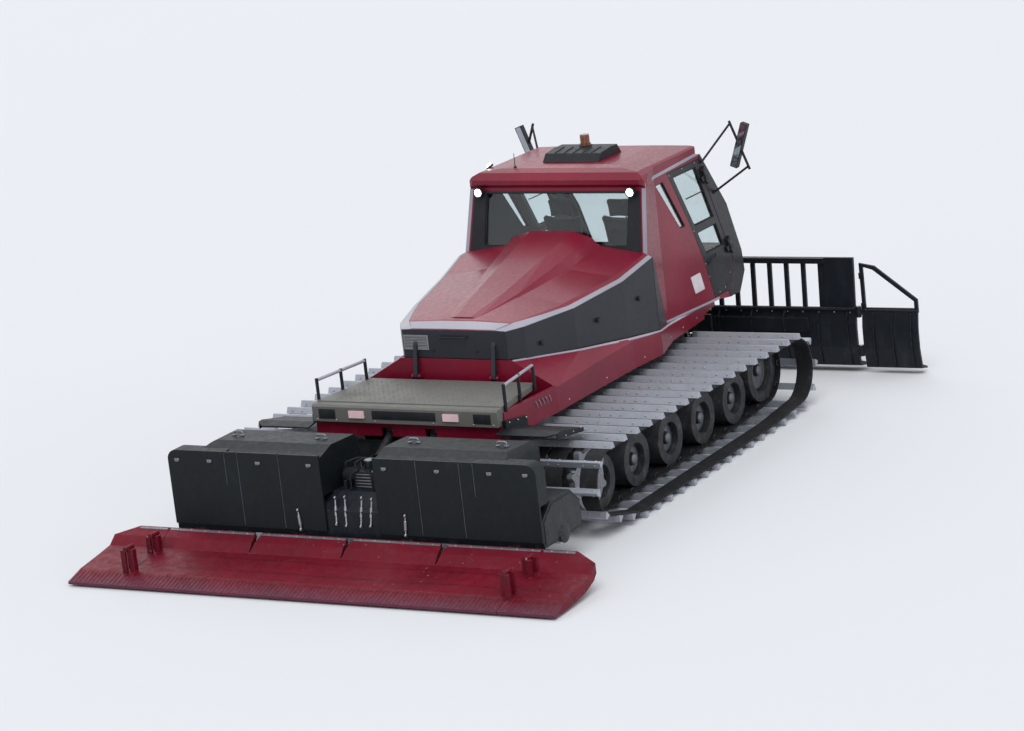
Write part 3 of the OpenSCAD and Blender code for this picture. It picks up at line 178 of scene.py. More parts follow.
def paint(name, color, rough, coat, grime, wear, wear_color=(0.35, 0.34, 0.33), dust=(0.42, 0.43, 0.45),
          gloss=0.3):
    """Sprayed metal: faded in broad patches, dusty streaks, chipped along its edges."""
    s = Shader(name)
    base = s.faded(s.spots((0.9, 5), 0.35, 0.7), color, 0.82, 1.14)
    streak = s.noise(9.0, 6, 0.65, stretch=(1, 1, 0.3))
    low = s.ranged(s.axis(2), 1.3, 0.2)
    dirt = s.times(s.ranged(streak, 0.5, 0.8), s.math("ADD", 0.35, s.times(low, 0.65)))
    dirt = s.times(dirt, grime)
    base = s.mix(dirt, base, dust)
    chips = s.times(s.times(s.edges(), s.spots((38, 5, 0.7), 0.5, 0.62)), wear)
    base = s.mix(chips, base, wear_color)
    scuff = s.spots((22, 6, 0.7), 0.3, 0.75, rough - 0.07, rough + 0.14)
    peel = s.bump(s.noise(260, 2), 0.05, 0.002, s.rounded)
    return s.set(Base_Color=base, Roughness=s.math("ADD", scuff, s.times(dirt, 0.6)),
                 Specular_IOR_Level=gloss, Coat_Weight=coat, Coat_IOR=1.4, Coat_Roughness=0.14,
                 Normal=s.bump(s.math("SUBTRACT", 1.0, chips), 0.3, 0.001, peel))


def plastic(name, color, rough, grain, grime, dust=(0.3, 0.31, 0.33)):
    """Moulded plastic or rubber sheet: fine grain, pale scuffs and a film of dried snow water."""
    s = Shader(name)
    base = s.faded(s.spots((1.4, 5), 0.35, 0.7), color, 0.75, 1.3)
    film = s.times(s.spots((13, 7, 0.7), 0.52, 0.85, stretch=(1, 1, 0.5)), grime)
    base = s.mix(film, base, dust)
    base = s.mix(s.times(s.rubbed(), 0.4), base, dust)
    scuff = s.spots((18, 6, 0.7), 0.3, 0.75, rough - 0.08, rough + 0.14)
    normal = s.bump(s.noise(grain, 3), 0.12, 0.001, s.bump(s.noise(9, 4), 0.05, 0.004, s.rounded))
    return s.set(Base_Color=base, Roughness=scuff, Specular_IOR_Level=0.28, Normal=normal)


def metal(name, color, rough, stretch, scratch, grime, dust=(0.13, 0.13, 0.135), shine=0.95):
    """Bare metal with brushed scratches along one direction and dull grime."""
    s = Shader(name)
    lines = s.noise(60, 6, 0.75, stretch=stretch)
    base = s.faded(s.ranged(lines, 0.3, 0.7), color, 0.72, 1.18)
    dirt = s.times(s.spots((3.2, 7, 0.7), 0.45, 0.8), grime)
    base = s.mix(dirt, base, dust)
    base = s.mix(s.times(s.edges(), 0.5), base, shade(color, 1.35))
    scuff = s.ranged(lines, 0.25, 0.75, rough - 0.1, rough + 0.15)
    return s.set(Base_Color=base, Roughness=s.math("ADD", scuff, s.times(dirt, 0.5)),
                 Normal=s.bump(lines, scratch, 0.0015, s.rounded),
                 Metallic=s.ranged(dirt, 0.0, 0.4, shine, shine * 0.6))


def tyre_rubber(name):
    s = Shader(name)
    base = s.mix(s.spots((3, 6), 0.35, 0.7), (0.016, 0.016, 0.018), (0.045, 0.045, 0.048))
    base = s.mix(s.times(s.spots((8, 7, 0.75), 0.5, 0.8), 0.45), base, (0.22, 0.23, 0.25))
    normal = s.bump(s.cells(120), 0.15, 0.002, s.bump(s.noise(12, 5), 0.1, 0.006))
    return s.set(Base_Color=base, Roughness=s.spots((20, 5), 0.3, 0.7, 0.6, 0.85), Normal=normal)


def glass(name, tint):
    """Pane with a faint tint and the dull film of a working machine."""
    s = Shader(name)
    film = s.spots((3.5, 7, 0.7), 0.55, 0.95, 0.005, 0.055, stretch=(1, 1, 0.5))
    base = s.faded(s.spots((1.2, 4), 0.3, 0.7), tint, 0.94, 1.0)
    return s.set(Base_Color=base, Roughness=film, Transmission_Weight=1.0, IOR=1.45, Specular_IOR_Level=0.25,
                 Normal=s.bump(s.noise(2.0, 2), 0.02, 0.002))


def lens(name, color, glow=0.0):
    """Ribbed lamp glass, lit from behind where glow is over 0."""
    s = Shader(name)
    base = s.faded(s.ranged(s.cells(90), 0.2, 0.8), color, 0.85, 1.0)
    if glow:
        s.set(Emission_Color=color, Emission_Strength=glow)
    return s.set(Base_Color=base, Roughness=s.spots((25, 4), 0.3, 0.7, 0.08, 0.22), Coat_Weight=0.6,
                 Normal=s.bump(s.wave(60, "Z"), 0.3, 0.002))


def woven(name, color):
    """Seat cloth: crossed threads with a soft sheen."""
    s = Shader(name)
    threads = s.times(s.wave(190, "Y", 0.4), s.wave(190, "Z", 0.4))
    base = s.faded(threads, color, 0.6, 1.5)
    base = s.mix(s.times(s.spots((5, 6), 0.5, 0.8), 0.25), base, (0.2, 0.2, 0.21))
    return s.set(Base_Color=base, Roughness=s.spots((14, 4), 0.3, 0.7, 0.75, 0.95), Sheen_Weight=0.35,
                 Normal=s.bump(threads, 0.3, 0.001))


def comb_plastic(name, color):
    """Flexible red sheets: faded and dusty towards the rear edge, with painted shade in dark lines across at
    the creases, flecked with snow dust.
    """
    s = Shader(name)
    x = s.math("ADD", s.axis(0), s.times(s.noise(2.5, 4), 0.06))
    base = s.faded(s.spots((1.6, 5), 0.35, 0.7), color, 0.78, 1.25)
    # Painted shade: dark lines across the sheets, darkening the colour where shade falls in the creases
    for crease, width in ((-3.62, 0.02), (-3.86, 0.028), (-4.06, 0.02)):
        crease_shade = s.ranged(s.math("ABSOLUTE", s.math("SUBTRACT", x, crease)), width, 0.0)
        base = s.mix(s.times(crease_shade, 0.55), base, shade(color, 0.3))
    base = s.mix(s.times(s.ranged(x, -4.06, -4.2), 0.45), base, (0.085, 0.05, 0.085))
    base = s.mix(s.times(s.spots((7, 7, 0.7), 0.5, 0.8), 0.3), base, (0.14, 0.045, 0.065))
    fleck = s.spots((26, 3, 0.5), 0.70, 0.76, stretch=(1.6, 0.8, 1))
    patch = s.spots((1.1, 3), 0.5, 0.62)
    base = s.mix(s.times(s.times(fleck, patch), 0.8), base, (0.6, 0.5, 0.53))
    base = s.mix(s.times(s.rubbed(), 0.5), base, (0.4, 0.3, 0.34))
    ridges = s.bump(s.wave(9, "Y", 0.5), 0.08, 0.004, s.bump(s.noise(5, 5), 0.12, 0.01, s.rounded))
    return s.set(Base_Color=base, Roughness=s.spots((15, 5), 0.3, 0.7, 0.4, 0.64), Specular_IOR_Level=0.22,
                 Normal=ridges)


def mirror_glass(name):
    s = Shader(name)
    haze = s.spots((14, 6, 0.7), 0.45, 0.85, 0.03, 0.25)
    base = s.mix(s.spots((6, 5), 0.4, 0.7), (0.32, 0.34, 0.37), (0.42, 0.44, 0.47))
    return s.set(Base_Color=base, Roughness=haze, Metallic=s.ranged(haze, 0.03, 0.25, 1.0, 0.7))


def lining(name, color):
    """Felted lining of the cab: short fibres, slightly mottled."""
    s = Shader(name)
    fibre = s.noise(110, 5, 0.7)
    base = s.faded(s.ranged(fibre, 0.3, 0.7), color, 0.8, 1.25)
    return s.set(Base_Color=base, Roughness=s.spots((9, 4), 0.3, 0.7, 0.8, 0.97), Sheen_Weight=0.25,
                 Normal=s.bump(fibre, 0.12, 0.001))


EVEN = (1, 1, 1)
# Each look: a slot name of the record, the CAD nodes that wear it, and its material
LOOKS = {
    "red": ("", "lower_body cab_shell cab_roof hood_panel",
            paint("red_paint", (0.195, 0.0035, 0.023), 0.34, 0.22, 0.12, 0.4, dust=(0.3, 0.17, 0.2))),
    "comb": ("comb_red", "comb_middle comb_left comb_right",
             comb_plastic("comb_plastic", (0.15, 0.0022, 0.0135))),
    "charcoal": ("", "hood_skirt side_fairings",
                 paint("charcoal_paint", (0.021, 0.023, 0.03), 0.42, 0.15, 0.12, 0.25,
                       dust=(0.1, 0.1, 0.11))),
    "door": ("charcoal", "door_left door_right",
             paint("door_paint", (0.01, 0.011, 0.015), 0.4, 0.15, 0.1, 0.25, dust=(0.07, 0.07, 0.08))),
    "frame": ("frame_black", "chassis_frame running_gear push_frame blade_head blade_swing tiller_frame"
              " front_lift_barrels rear_lift_barrels",
              paint("frame_paint", (0.014, 0.015, 0.018), 0.5, 0.1, 0.3, 0.4, dust=(0.16, 0.16, 0.17))),
    "blade": ("blade_black", "blade_board wing_left wing_right tiller_housing",
              paint("blade_paint", (0.007, 0.01, 0.015), 0.45, 0.1, 0.25, 0.7, (0.22, 0.22, 0.22),
                    (0.08, 0.09, 0.1), 0.22)),
    "silver": ("track_alloy", "", paint("silver_stripe", (0.36, 0.34, 0.4), 0.36, 0.2, 0.2, 0.2)),
    "cover": ("", "tiller_covers track_guards",
              plastic("cover_plastic", (0.0032, 0.0062, 0.0085), 0.5, 300, 0.2, (0.03, 0.042, 0.048))),
    "trim": ("trim_black", "roof_hatch dashboard mirrors deck_rails work_lamps",
             plastic("trim_plastic", (0.012, 0.013, 0.016), 0.5, 500, 0.2, (0.1, 0.1, 0.11))),
    "rubber": ("trim_black", "",
               plastic("seal_rubber", (0.009, 0.009, 0.01), 0.68, 800, 0.3, (0.09, 0.09, 0.095))),
    "strap": ("cover_black", "", plastic("seam_strap", (0.06, 0.072, 0.085), 0.6, 700, 0.3)),
    "tread": ("tyre", "", plastic("belt_rubber", (0.011, 0.011, 0.013), 0.7, 150, 0.5, (0.09, 0.095, 0.105))),
    "sign": ("lamp_white", "", plastic("blank_sign", (0.62, 0.55, 0.58), 0.42, 300, 0.25, (0.4, 0.38, 0.4))),
    "vent": ("deck_grey", "", paint("vent_grey", (0.26, 0.26, 0.29), 0.45, 0.2, 0.35, 0.3)),
    "deck": ("deck_grey", "load_deck",
             metal("deck_plate", (0.17, 0.168, 0.155), 0.55, (1, 6, 1), 0.3, 0.55, (0.1, 0.095, 0.09), 0.35)),
    "track": ("", "track_left track_right",
              metal("track_alloy", (0.4, 0.42, 0.47), 0.42, (8, 0.6, 8), 0.3, 0.4, (0.16, 0.17, 0.19), 0.6)),
    "belt": ("", "tyres", tyre_rubber("tyre_rubber")),
    "steel": ("sprocket_metal", "sprockets level_links rotor_left rotor_right",
              metal("worn_steel", (0.24, 0.25, 0.27), 0.4, (1, 5, 1), 0.3, 0.4)),
    "bolt": ("sprocket_metal", "", metal("zinc_bolts", (0.42, 0.42, 0.43), 0.34, (3, 3, 3), 0.2, 0.35)),
    "wheel": ("track_alloy", "",
              metal("wheel_alloy", (0.2, 0.21, 0.23), 0.45, (2, 2, 2), 0.25, 0.5, (0.06, 0.06, 0.068), 0.7)),
    "engine": ("engine_metal", "engine_block",
               metal("engine_casting", (0.2, 0.2, 0.21), 0.6, EVEN, 0.5, 0.6)),
    "chrome": ("", "front_lift_rods rear_lift_rods",
               metal("ram_chrome", (0.75, 0.75, 0.77), 0.1, EVEN, 0.03, 0.08)),
    "glass": ("", "windscreen rear_window quarter_windows door_glass_left door_glass_right",
              glass("cab_glass", (0.8, 0.87, 0.88))),
    "mirror": ("rod_chrome", "", mirror_glass("mirror_glass")),
    "lamp": ("lamp_white", "", lens("lamp_lens", (1.0, 0.97, 0.92), 6.0)),
    "headlamp": ("lamp_white", "", lens("headlamp_lens", (0.75, 0.76, 0.74), 0.3)),
    "pink": ("", "tail_lamps", lens("tail_lens", (0.72, 0.5, 0.52), 0.2)),
    "amber": ("beacon_amber", "beacon", lens("beacon_lens", (0.2, 0.05, 0.012))),
    "screen": ("glass", "", lens("screen_glass", (0.01, 0.013, 0.018))),
    "cloth": ("seat_cloth", "seats", woven("seat_cloth", (0.05, 0.052, 0.062))),
    "lining": ("seat_cloth", "", lining("cab_lining", (0.075, 0.077, 0.085))),
}
for slot, names, material in LOOKS.values():
    for name in names.split():
        for place in nodes[name].material_slots:
            place.material = material

# Geometry helpers: shapes are in machine millimetres, x from mid track, until a piece is finished
TRACK_MID = 1475     # from the machine's middle to a track's
CAB_HALF = 970       # half width of the cab from the doors on
SMOOTH_ANGLE = 32    # degrees, over which an edge stays sharp
Z = Vector((0, 0, 1))


def V(*p):
    return Vector(p)


def at_y(y, *points):
    """Points (x, z) on the upright plane at y."""
    return [V(x, y, z) for x, z in points]


def on(face_x, out, *points):
    """Points (y, z) on a face that runs across the machine, whose x at a height face_x gives."""
    return [V(face_x(z) + out, y, z) for y, z in points]


def tilt(angle, axis="Y"):
    return Matrix.Rotation(math.radians(angle), 3, axis)


def rounded(path, fillet, closed=True, steps=5):
    """Path with its inner corners replaced by short arcs."""
    out = []
    count = len(path)
    for i, p in enumerate(path):
        if not closed and i in (0, count - 1):
            out.append(p)
            continue
        a, b = path[i - 1] - p, path[(i + 1) % count] - p
        reach = min(fillet, a.length * 0.45, b.length * 0.45)
        start, end = p + a.normalized() * reach, p + b.normalized() * reach
        for k in range(steps + 1):
            t = k / steps
            out.append(start * (1 - t) ** 2 + p * (2 * t * (1 - t)) + end * t * t)
    return out


def frames(path, closed):
    """Two cross axes at each point of a path, carried along it without twist."""
    count = len(path)
    tangents = []
    for i in range(count):
        before = path[i - 1] if closed or i else path[i]
        after = path[(i + 1) % count] if closed or i < count - 1 else path[i]
        tangents.append((after - before).normalized())
    side = tangents[0].orthogonal().normalized()
    sides = []
    for t in tangents:
        side = (side - t * side.dot(t)).normalized()
        sides.append(side.copy())
    if closed:
        last = (sides[-1] - tangents[0] * sides[-1].dot(tangents[0])).normalized()
        twist = math.atan2(tangents[0].dot(last.cross(sides[0])), last.dot(sides[0]))
        sides = [Matrix.Rotation(twist * i / count, 3, t) @ s
                 for i, (s, t) in enumerate(zip(sides, tangents))]
    return [(s, t.cross(s)) for s, t in zip(sides, tangents)]


def turns(steps):
    return [2 * math.pi * k / steps for k in range(steps)]


def add(name, data):
    """New object of the data in the scene."""
    made = bpy.data.objects.new(name, data)
    bpy.context.scene.collection.objects.link(made)
    return made


def finish(bm, name, look, body):
    """Object of a mesh that is in metres, riding on a body."""
    bmesh.ops.recalc_face_normals(bm, faces=bm.faces)
    mesh = bpy.data.meshes.new(name)
    bm.to_mesh(mesh)
    bm.free()
    mesh.polygons.foreach_set("use_smooth", [True] * len(mesh.polygons))
    mesh.set_sharp_from_angle(angle=math.radians(SMOOTH_ANGLE))
    slot, _, material = LOOKS[look]
    mesh.materials.append(material)
    piece = add(name, mesh)
    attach(piece, body)


class Build:
    """Mesh of one piece."""

    def __init__(self):
        self.bm = bmesh.new()

    def skin(self, rings, closed=False):
        """Faces through rings of matching points, with ends capped unless the rings close."""
        rows = [[self.bm.verts.new(p) for p in ring] for ring in rings]
        for a, b in zip(rows, rows[1:] + (rows[:1] if closed else [])):
            for i in range(len(a)):
                j = (i + 1) % len(a)
                self.bm.faces.new((a[i], a[j], b[j], b[i]))
        if not closed:
            self.bm.faces.new(rows[0][::-1])
            self.bm.faces.new(rows[-1])

    def prism(self, outline, depth):
        self.skin([outline, [p + depth for p in outline]])

    def frame_plate(self, outer, inner, depth):
        """Flat frame between two outlines with as many points each."""
        self.skin([outer, inner, [p + depth for p in inner], [p + depth for p in outer]], closed=True)

    def pipe(self, path, radius, fillet=0.0, closed=False, sides=8, flat=1.0):
        if fillet:
            path = rounded(path, fillet, closed)
        self.skin([[p + s * (radius * math.cos(a)) + t * (radius * flat * math.sin(a)) for a in turns(sides)]
                   for p, (s, t) in zip(path, frames(path, closed))], closed)

    def seal(self, outline, radius=9.0):
        """Rubber round a pane, drawn in from its outline so that it lies on the glass."""
        middle = sum(outline, V(0, 0, 0)) / len(outline)
        self.pipe([p + (middle - p).normalized() * radius * 0.9 for p in outline], radius, 34, True)

    def lathe(self, profile, centre, axis, steps=24):
        """Profile of (radius, height along axis) turned round the axis."""
        axis = axis.normalized()
        s = axis.orthogonal().normalized()
        t = axis.cross(s)
        self.skin([[centre + axis * height + (s * math.cos(a) + t * math.sin(a)) * max(radius, 0.4)
                    for a in turns(steps)] for radius, height in profile])

    def bolt(self, at, axis, radius, height):
        """Hexagon head on its washer."""
        self.lathe([(radius * 1.35, -1), (radius * 1.35, 1.5), (radius, 1.6), (radius, height * 0.8),
                    (radius * 0.8, height)], at, axis, 6)

    def bolt_ring(self, centre, axis, reach, count, radius, height, first=0):
        """Bolts round a centre, starting at the angle first."""
        for k in range(count):
            a = math.radians(k * 360 / count + first)
            c, s = math.cos(a) * reach, math.sin(a) * reach
            self.bolt(centre + (V(c, s, 0) if axis.z else V(c, 0, s)), axis, radius, height)

    def block(self, centre, size, edge=4.0, turn=None, segments=2):
        """Box with rounded edges."""
        part = bmesh.new()
        bmesh.ops.create_cube(part, size=1)
        bmesh.ops.scale(part, vec=size, verts=part.verts)
        bmesh.ops.bevel(part, geom=part.edges[:], offset=edge, segments=segments, affect="EDGES", profile=0.6)
        if turn is not None:
            bmesh.ops.rotate(part, matrix=turn, verts=part.verts)
        bmesh.ops.translate(part, vec=centre, verts=part.verts)
        mesh = bpy.data.meshes.new("part")
        part.to_mesh(mesh)
        part.free()
        self.bm.from_mesh(mesh)
        bpy.data.meshes.remove(mesh)

    def strip(self, low, high, outward, thick):
        """Raised band between two matching paths, standing out towards the outward side."""
        rings = []
        for i, (a, b) in enumerate(zip(low, high)):
            along = low[min(i + 1, len(low) - 1)] - low[max(i - 1, 0)]
            normal = along.cross(b - a).normalized()
            if normal.dot(outward) < 0:
                normal = -normal
            rings.append([a - normal, b - normal, b + normal * thick, a + normal * thick])
        self.skin(rings)

    def done(self, name, look, body="chassis"):
        bmesh.ops.scale(self.bm, vec=(0.001, 0.001, 0.001), verts=self.bm.verts)
        bmesh.ops.translate(self.bm, vec=(SHIFT, 0, 0), verts=self.bm.verts)
        finish(self.bm, name, look, body)


def lifted_faces(node, wanted, lift, depth, name, look):
    """Thin plate over some of a node's faces, raised from them. The CAD node itself stays as it is."""
    def key(v):
        return tuple(round(c, 5) for c in v.co)

    part = bmesh.new()
    part.from_mesh(nodes[node].data)
    bmesh.ops.delete(part, geom=[f for f in part.faces if not wanted(f)], context="FACES")
    bmesh.ops.remove_doubles(part, verts=part.verts, dist=0.0004)
    part.normal_update()
    outward = {key(v): v.normal.copy() for v in part.verts}
    made = bmesh.ops.extrude_face_region(part, geom=part.faces[:], use_keep_orig=True)["geom"]
    upper = {g for g in made if isinstance(g, bmesh.types.BMVert)}
    for v in part.verts:
        v.co += outward[key(v)] * ((lift if v in upper else lift - depth) / 1000)
    finish(part, name, look, nodes[node]["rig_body"])


# Surfaces of the cab and body, as in the part's source
def plan_half(x):
    return 1083 - 113 * (x - 650) / 550 if x < 1200 else CAB_HALF


def wall_x(z):
    return 660 + 195 * (z - 2000) / 690


def nose_x(z):
    return 3100 - 30 * (z - 1270) / 230


def seam_z(x):
    """Height of the joint between cab and roof."""
    return 2690 + 45 * (x - 855) / 1435


def row_at(rows, x, k):
    for a, b in zip(rows, rows[1:]):
        if min(a[0], b[0]) <= x <= max(a[0], b[0]):
            return a[k] + (b[k] - a[k]) * (x - a[0]) / (b[0] - a[0])
    return rows[0][k] if abs(x - rows[0][0]) < abs(x - rows[-1][0]) else rows[-1][k]


# Hood: x, then half width and height at its shoulder, at its side's top and at its crown
HOOD = [(646, 1150, 2000, 1065, 2042, 330, 2150), (100, 1080, 1880, 985, 1924, 300, 2025),
        (-700, 930, 1800, 815, 1845, 260, 1915), (-1350, 720, 1775, 600, 1812, 200, 1832),
        (-1520, 600, 1765, 480, 1772, 150, 1775)]
SHOULDER, SIDE_TOP, CROWN = 1, 3, 5
# Body: x, side half width, side height, half width at the light line, its height
BODY = [(-1530, 1110, 1215, 640, 1475), (-700, 1110, 1240, 950, 1379.2), (100, 1120, 1250, 1100, 1286.9),
        (660, 1160, 1205, 1152, 1222.3), (1200, 1005, 1140, 990, 1160), (2440, 900, 1085, 885, 1105)]


def hood_point(x, side, place, share=0.0):
    """Point on the hood at x. share leads on from the place to the next one."""
    half, high = (row_at(HOOD, x, k) for k in (place, place + 1))
    if share:
        half += (row_at(HOOD, x, place + 2) - half) * share
        high += (row_at(HOOD, x, place + 3) - high) * share
    return V(x, half * side, high)


def cab_corner(side, back, out):
    """Points up the cab's rear corner, moved along the machine by back and outwards by out."""
    return [V(wall_x(z) + back, side * (plan_half(wall_x(z) + max(back, 0)) + out), z)
            for z in (2012, 2150, 2290, 2430, 2570, 2680)]


# Silver stripe round the hood, up the cab's rear corners and along the roof
shoulder, stripe, line = Build(), Build(), Build()
for side in (-1, 1):
    xs = (645, 400, 101, 99, -300, -699, -701, -1020, -1349, -1351, -1521)
    shoulder.strip([hood_point(x, side, SHOULDER) for x in xs],
                   [hood_point(x, side, SHOULDER, 0.52 + 0.48 * min(1, max(0, (-900 - x) / 500)))
                    for x in xs], V(0, side * 0.5, 0.85), 3)
    rear, fore = ([hood_point(x, side, SIDE_TOP), hood_point(x, side, CROWN),
                   V(x, 0, row_at(HOOD, x, CROWN + 1))] for x in (-1521, -1385))
    for k in (0, 1):
        shoulder.strip(rear[k:k + 2], fore[k:k + 2], V(-0.3, 0, 0.95), 9)

    out = V(0, side, 0)
    edge = cab_corner(side, -1, 0.5)
    stripe.strip(edge, cab_corner(side, -0.3, -38), V(-1, 0, 0), 3)
    stripe.strip(edge, cab_corner(side, 16, 0.3), out, 3)
    low = [V(x, side * (min(plan_half(x), 1040) + 0.4), seam_z(x) + 2)
           for x in (862, 915, 1200, 1600, 2000, 2185)]
    stripe.strip(low, [p + Z * 34 for p in low], out, 3)

    top, low = [], []
    for x in (2438, 1900, 1201, 1199, 930, 662, 658, 380, 102, 98, -300, -698, -702, -1100, -1526):
        foot_half, foot_z, edge_half, edge_z = (row_at(BODY, x, k) for k in (1, 2, 3, 4))
        top.append(V(x, side * edge_half, edge_z))
        down = V(x, side * foot_half, foot_z) - top[-1]
        low.append(top[-1] + down.normalized() * min(26, down.length * 0.8))
    line.strip(top, low, V(0, side * 0.6, 1), 5)
    # Under the cab's front half the line runs along the shell's lower edge
    low = [V(x, side * (plan_half(x) + 0.4), row_at(BODY, x, 4) + 2)
           for x in (1000, 1199, 1201, 1600, 2000, 2436)]
    line.strip(low, [p + Z * 26 for p in low], out, 3)
shoulder.done("hood_stripe", "silver", "hood")
stripe.done("cab_stripes", "silver")
line.done("foot_line", "silver")

# Dark panel round the rear window, dark posts and header round the windscreen
panel = Build()
panel.frame_plate(
    on(wall_x, -0.3, (-1022, 2014), (0, 2014), (1022, 2014), (1000, 2400), (985, 2655), (0, 2655),
       (-985, 2655), (-1000, 2400)),
    on(wall_x, -0.3, (-850, 2100), (0, 2100), (850, 2100), (850, 2370), (850, 2630), (0, 2630),
       (-850, 2630), (-850, 2370)), V(-6, 0, 1.7))
panel.done("rear_window_surround", "trim")
posts = Build()
for side in (-1, 1):
    posts.prism(at_y(side * (CAB_HALF + 0.2), (2288, 2733), (2222, 2697), (2865, 1417), (2666, 1146),
                     (2690, 1068), (2949, 1068), (3099, 1271), (3069, 1500), (2809, 2080)),
                V(0, side * 1.5, 0))
    outer, inner = (at_y(side * half, (3070, 1500), (2811, 2080), (2291, 2734))
                    for half in (CAB_HALF + 1, 861))
    posts.strip(outer, inner, V(0.85, 0, 0.5), 2)
posts.strip([V(2290, y, 2734) for y in (-862, 0, 862)], [V(2335, y, 2677) for y in (-862, 0, 862)],
            V(0.78, 0, 0.62), 2)
posts.done("front_posts", "door")


def on_knuckle(face):
    c = face.calc_center_median()
    return abs(c.y) > 0.9715 and c.x - SHIFT > 2.2


lifted_faces("cab_shell", on_knuckle, 0.8, 1.0, "hinge_sleeves", "door")

# Rubber seals round the panes
seals = Build()
for side in (-1, 1):
    seals.seal(at_y(side * 956, (1215, 2630), (1385, 2630), (1800, 2060), (1690, 2060)))
seals.seal(on(wall_x, 26, (-858, 2092), (858, 2092), (858, 2638), (-858, 2638)), 11)
seals.seal([V(3046, -858, 1573), V(3046, 858, 1573), V(2797, 858, 2068), V(2318, 858, 2668),
            V(2318, -858, 2668), V(2797, -858, 2068)], 13)
seals.done("window_seals", "rubber")

# Doors: seals, slide rail, handle, screws, trim inside
for side, tag in ((-1, "right"), (1, "left")):
    out = V(0, side, 0)
    body = tag + "_door"
    rubber, fittings, screws, trim = Build(), Build(), Build(), Build()
    rubber.seal(at_y(side * 957, (1625, 2625), (2160, 2625), (2480, 2010), (2020, 2010)))
    rubber.seal(at_y(side * 957, (2065, 1930), (2515, 1930), (2650, 1660), (2225, 1660)))
    rubber.pipe(at_y(side * 958, (1905, 2330), (2310, 2330)), 7)
    rubber.done("door_seals_" + tag, "rubber", body)
    grip = [V(x, side * (CAB_HALF + out_y), z) for x, out_y, z in
            ((2265, 1, 1560), (2275, 34, 1566), (2395, 34, 1592), (2405, 1, 1594))]
    fittings.pipe(grip, 11, 18, sides=10, flat=0.7)
    fittings.block(V(2335, side * (CAB_HALF + 1), 1577), (190, 6, 74), 2.5, tilt(-12))
    fittings.lathe([(15, 0), (15, 5), (11, 7)], V(2445, side * CAB_HALF, 1606), out, 16)
    fittings.done("door_handle_" + tag, "trim", body)
    for at in at_y(side * CAB_HALF, (2460, 1180), (2600, 1200), (2740, 1330), (2250, 1400), (2180, 1560),
                   (1985, 1960), (1540, 2660), (1850, 2672), (2150, 2672)):
        screws.bolt(at, out, 6, 3.5)
    screws.done("door_screws_" + tag, "bolt", body)
    trim.prism(at_y(side * 919, (2200, 1640), (2640, 1640), (2780, 1420), (2630, 1190), (2350, 1190)),
               out * -9)
    trim.block(V(2430, side * 900, 1520), (260, 34, 44), 12, tilt(-8), 3)
    trim.done("door_trim_" + tag, "lining", body)

# Windscreen wipers, both parked leaning to the right
wipers = Build()
up, out = V(-250, 0, 498).normalized(), V(498, 0, 250).normalized()
for y in (430, -330):
    foot = V(3058, y, 1545)
    tip = foot + up * 400 + V(0, -120, 0) + out * 16
    wipers.lathe([(26, -8), (26, 16), (18, 26), (8, 28)], foot, out, 16)
    wipers.pipe([foot + out * 18, foot + out * 30 + up * 60, tip], 7, 20, flat=0.7)
    blade_way = (up + V(0, -0.12, 0)).normalized()
    lower, upper = tip - blade_way * 250, tip + blade_way * 60
    wipers.pipe([lower - out * 12, tip - out * 9, upper - out * 12], 5, sides=6)
    wipers.pipe([lower - out * 3, tip, upper - out * 3], 7, sides=6, flat=0.6)
wipers.done("wipers", "trim")

# Mirrors: glass towards the driver's rear view, rims and clamps
reflect, rims = Build(), Build()
for side in (-1, 1):
    turn = tilt(-20 * side, "X")
    centre = V(2570, side * 1300, 2765)
    corners = [(-33, -242), (33, -242), (33, 242), (-33, 242)]
    flat = rounded([V(-2.5, a, b) for a, b in corners], 16, steps=4)
    reflect.prism([centre + turn @ p for p in flat], turn @ V(-2, 0, 0))
    rims.pipe([centre + turn @ V(-1, a * 1.06, b * 1.01) for a, b in corners], 5, 18, True)
    for dz in (-150, 150):
        rims.block(centre + turn @ V(64, 0, dz), (26, 44, 60), 6, turn)
reflect.done("mirror_glass", "mirror")
rims.done("mirror_rims", "trim")

# Lamps: glass and bezel, and a small marker lamp on the roof's left shoulder
lens_lit, lens_clear, bezels = Build(), Build(), Build()
nose_out = V(math.cos(math.radians(7.4)), 0, math.sin(math.radians(7.4)))
for side in (-1, 1):
    centre = V(wall_x(2655) - 80, side * 905, 2655)
    lens_lit.lathe([(43, -1), (43, 3), (36, 9), (22, 13), (6, 14)], centre, V(-1, 0, 0))
    bezels.lathe([(44, -2), (53, -2), (54, 6), (50, 9), (44, 5)], centre, V(-1, 0, 0))
    for y in (560, 730):
        at = V(3085, side * y, 1385) + nose_out * 34.3
        lens_clear.lathe([(54, -0.5), (54, 3), (46, 8), (28, 12), (8, 13)], at, nose_out, 28)
        bezels.lathe([(55, -3), (65, -3), (66, 3), (62, 7), (55, 4)], at, nose_out, 28)
marker, outward = V(1180, 968, 2851), V(-0.25, 0.5, 0.83)
bezels.lathe([(40, -12), (42, 2), (40, 10), (33, 14)], marker, outward, 20)
lens_lit.lathe([(32, 8), (31, 18), (22, 27), (10, 31), (3, 32)], marker, outward, 20)
lens_lit.done("rear_lamp_glass", "lamp")
lens_clear.done("nose_lamp_glass", "headlamp")
bezels.done("lamp_bezels", "trim")

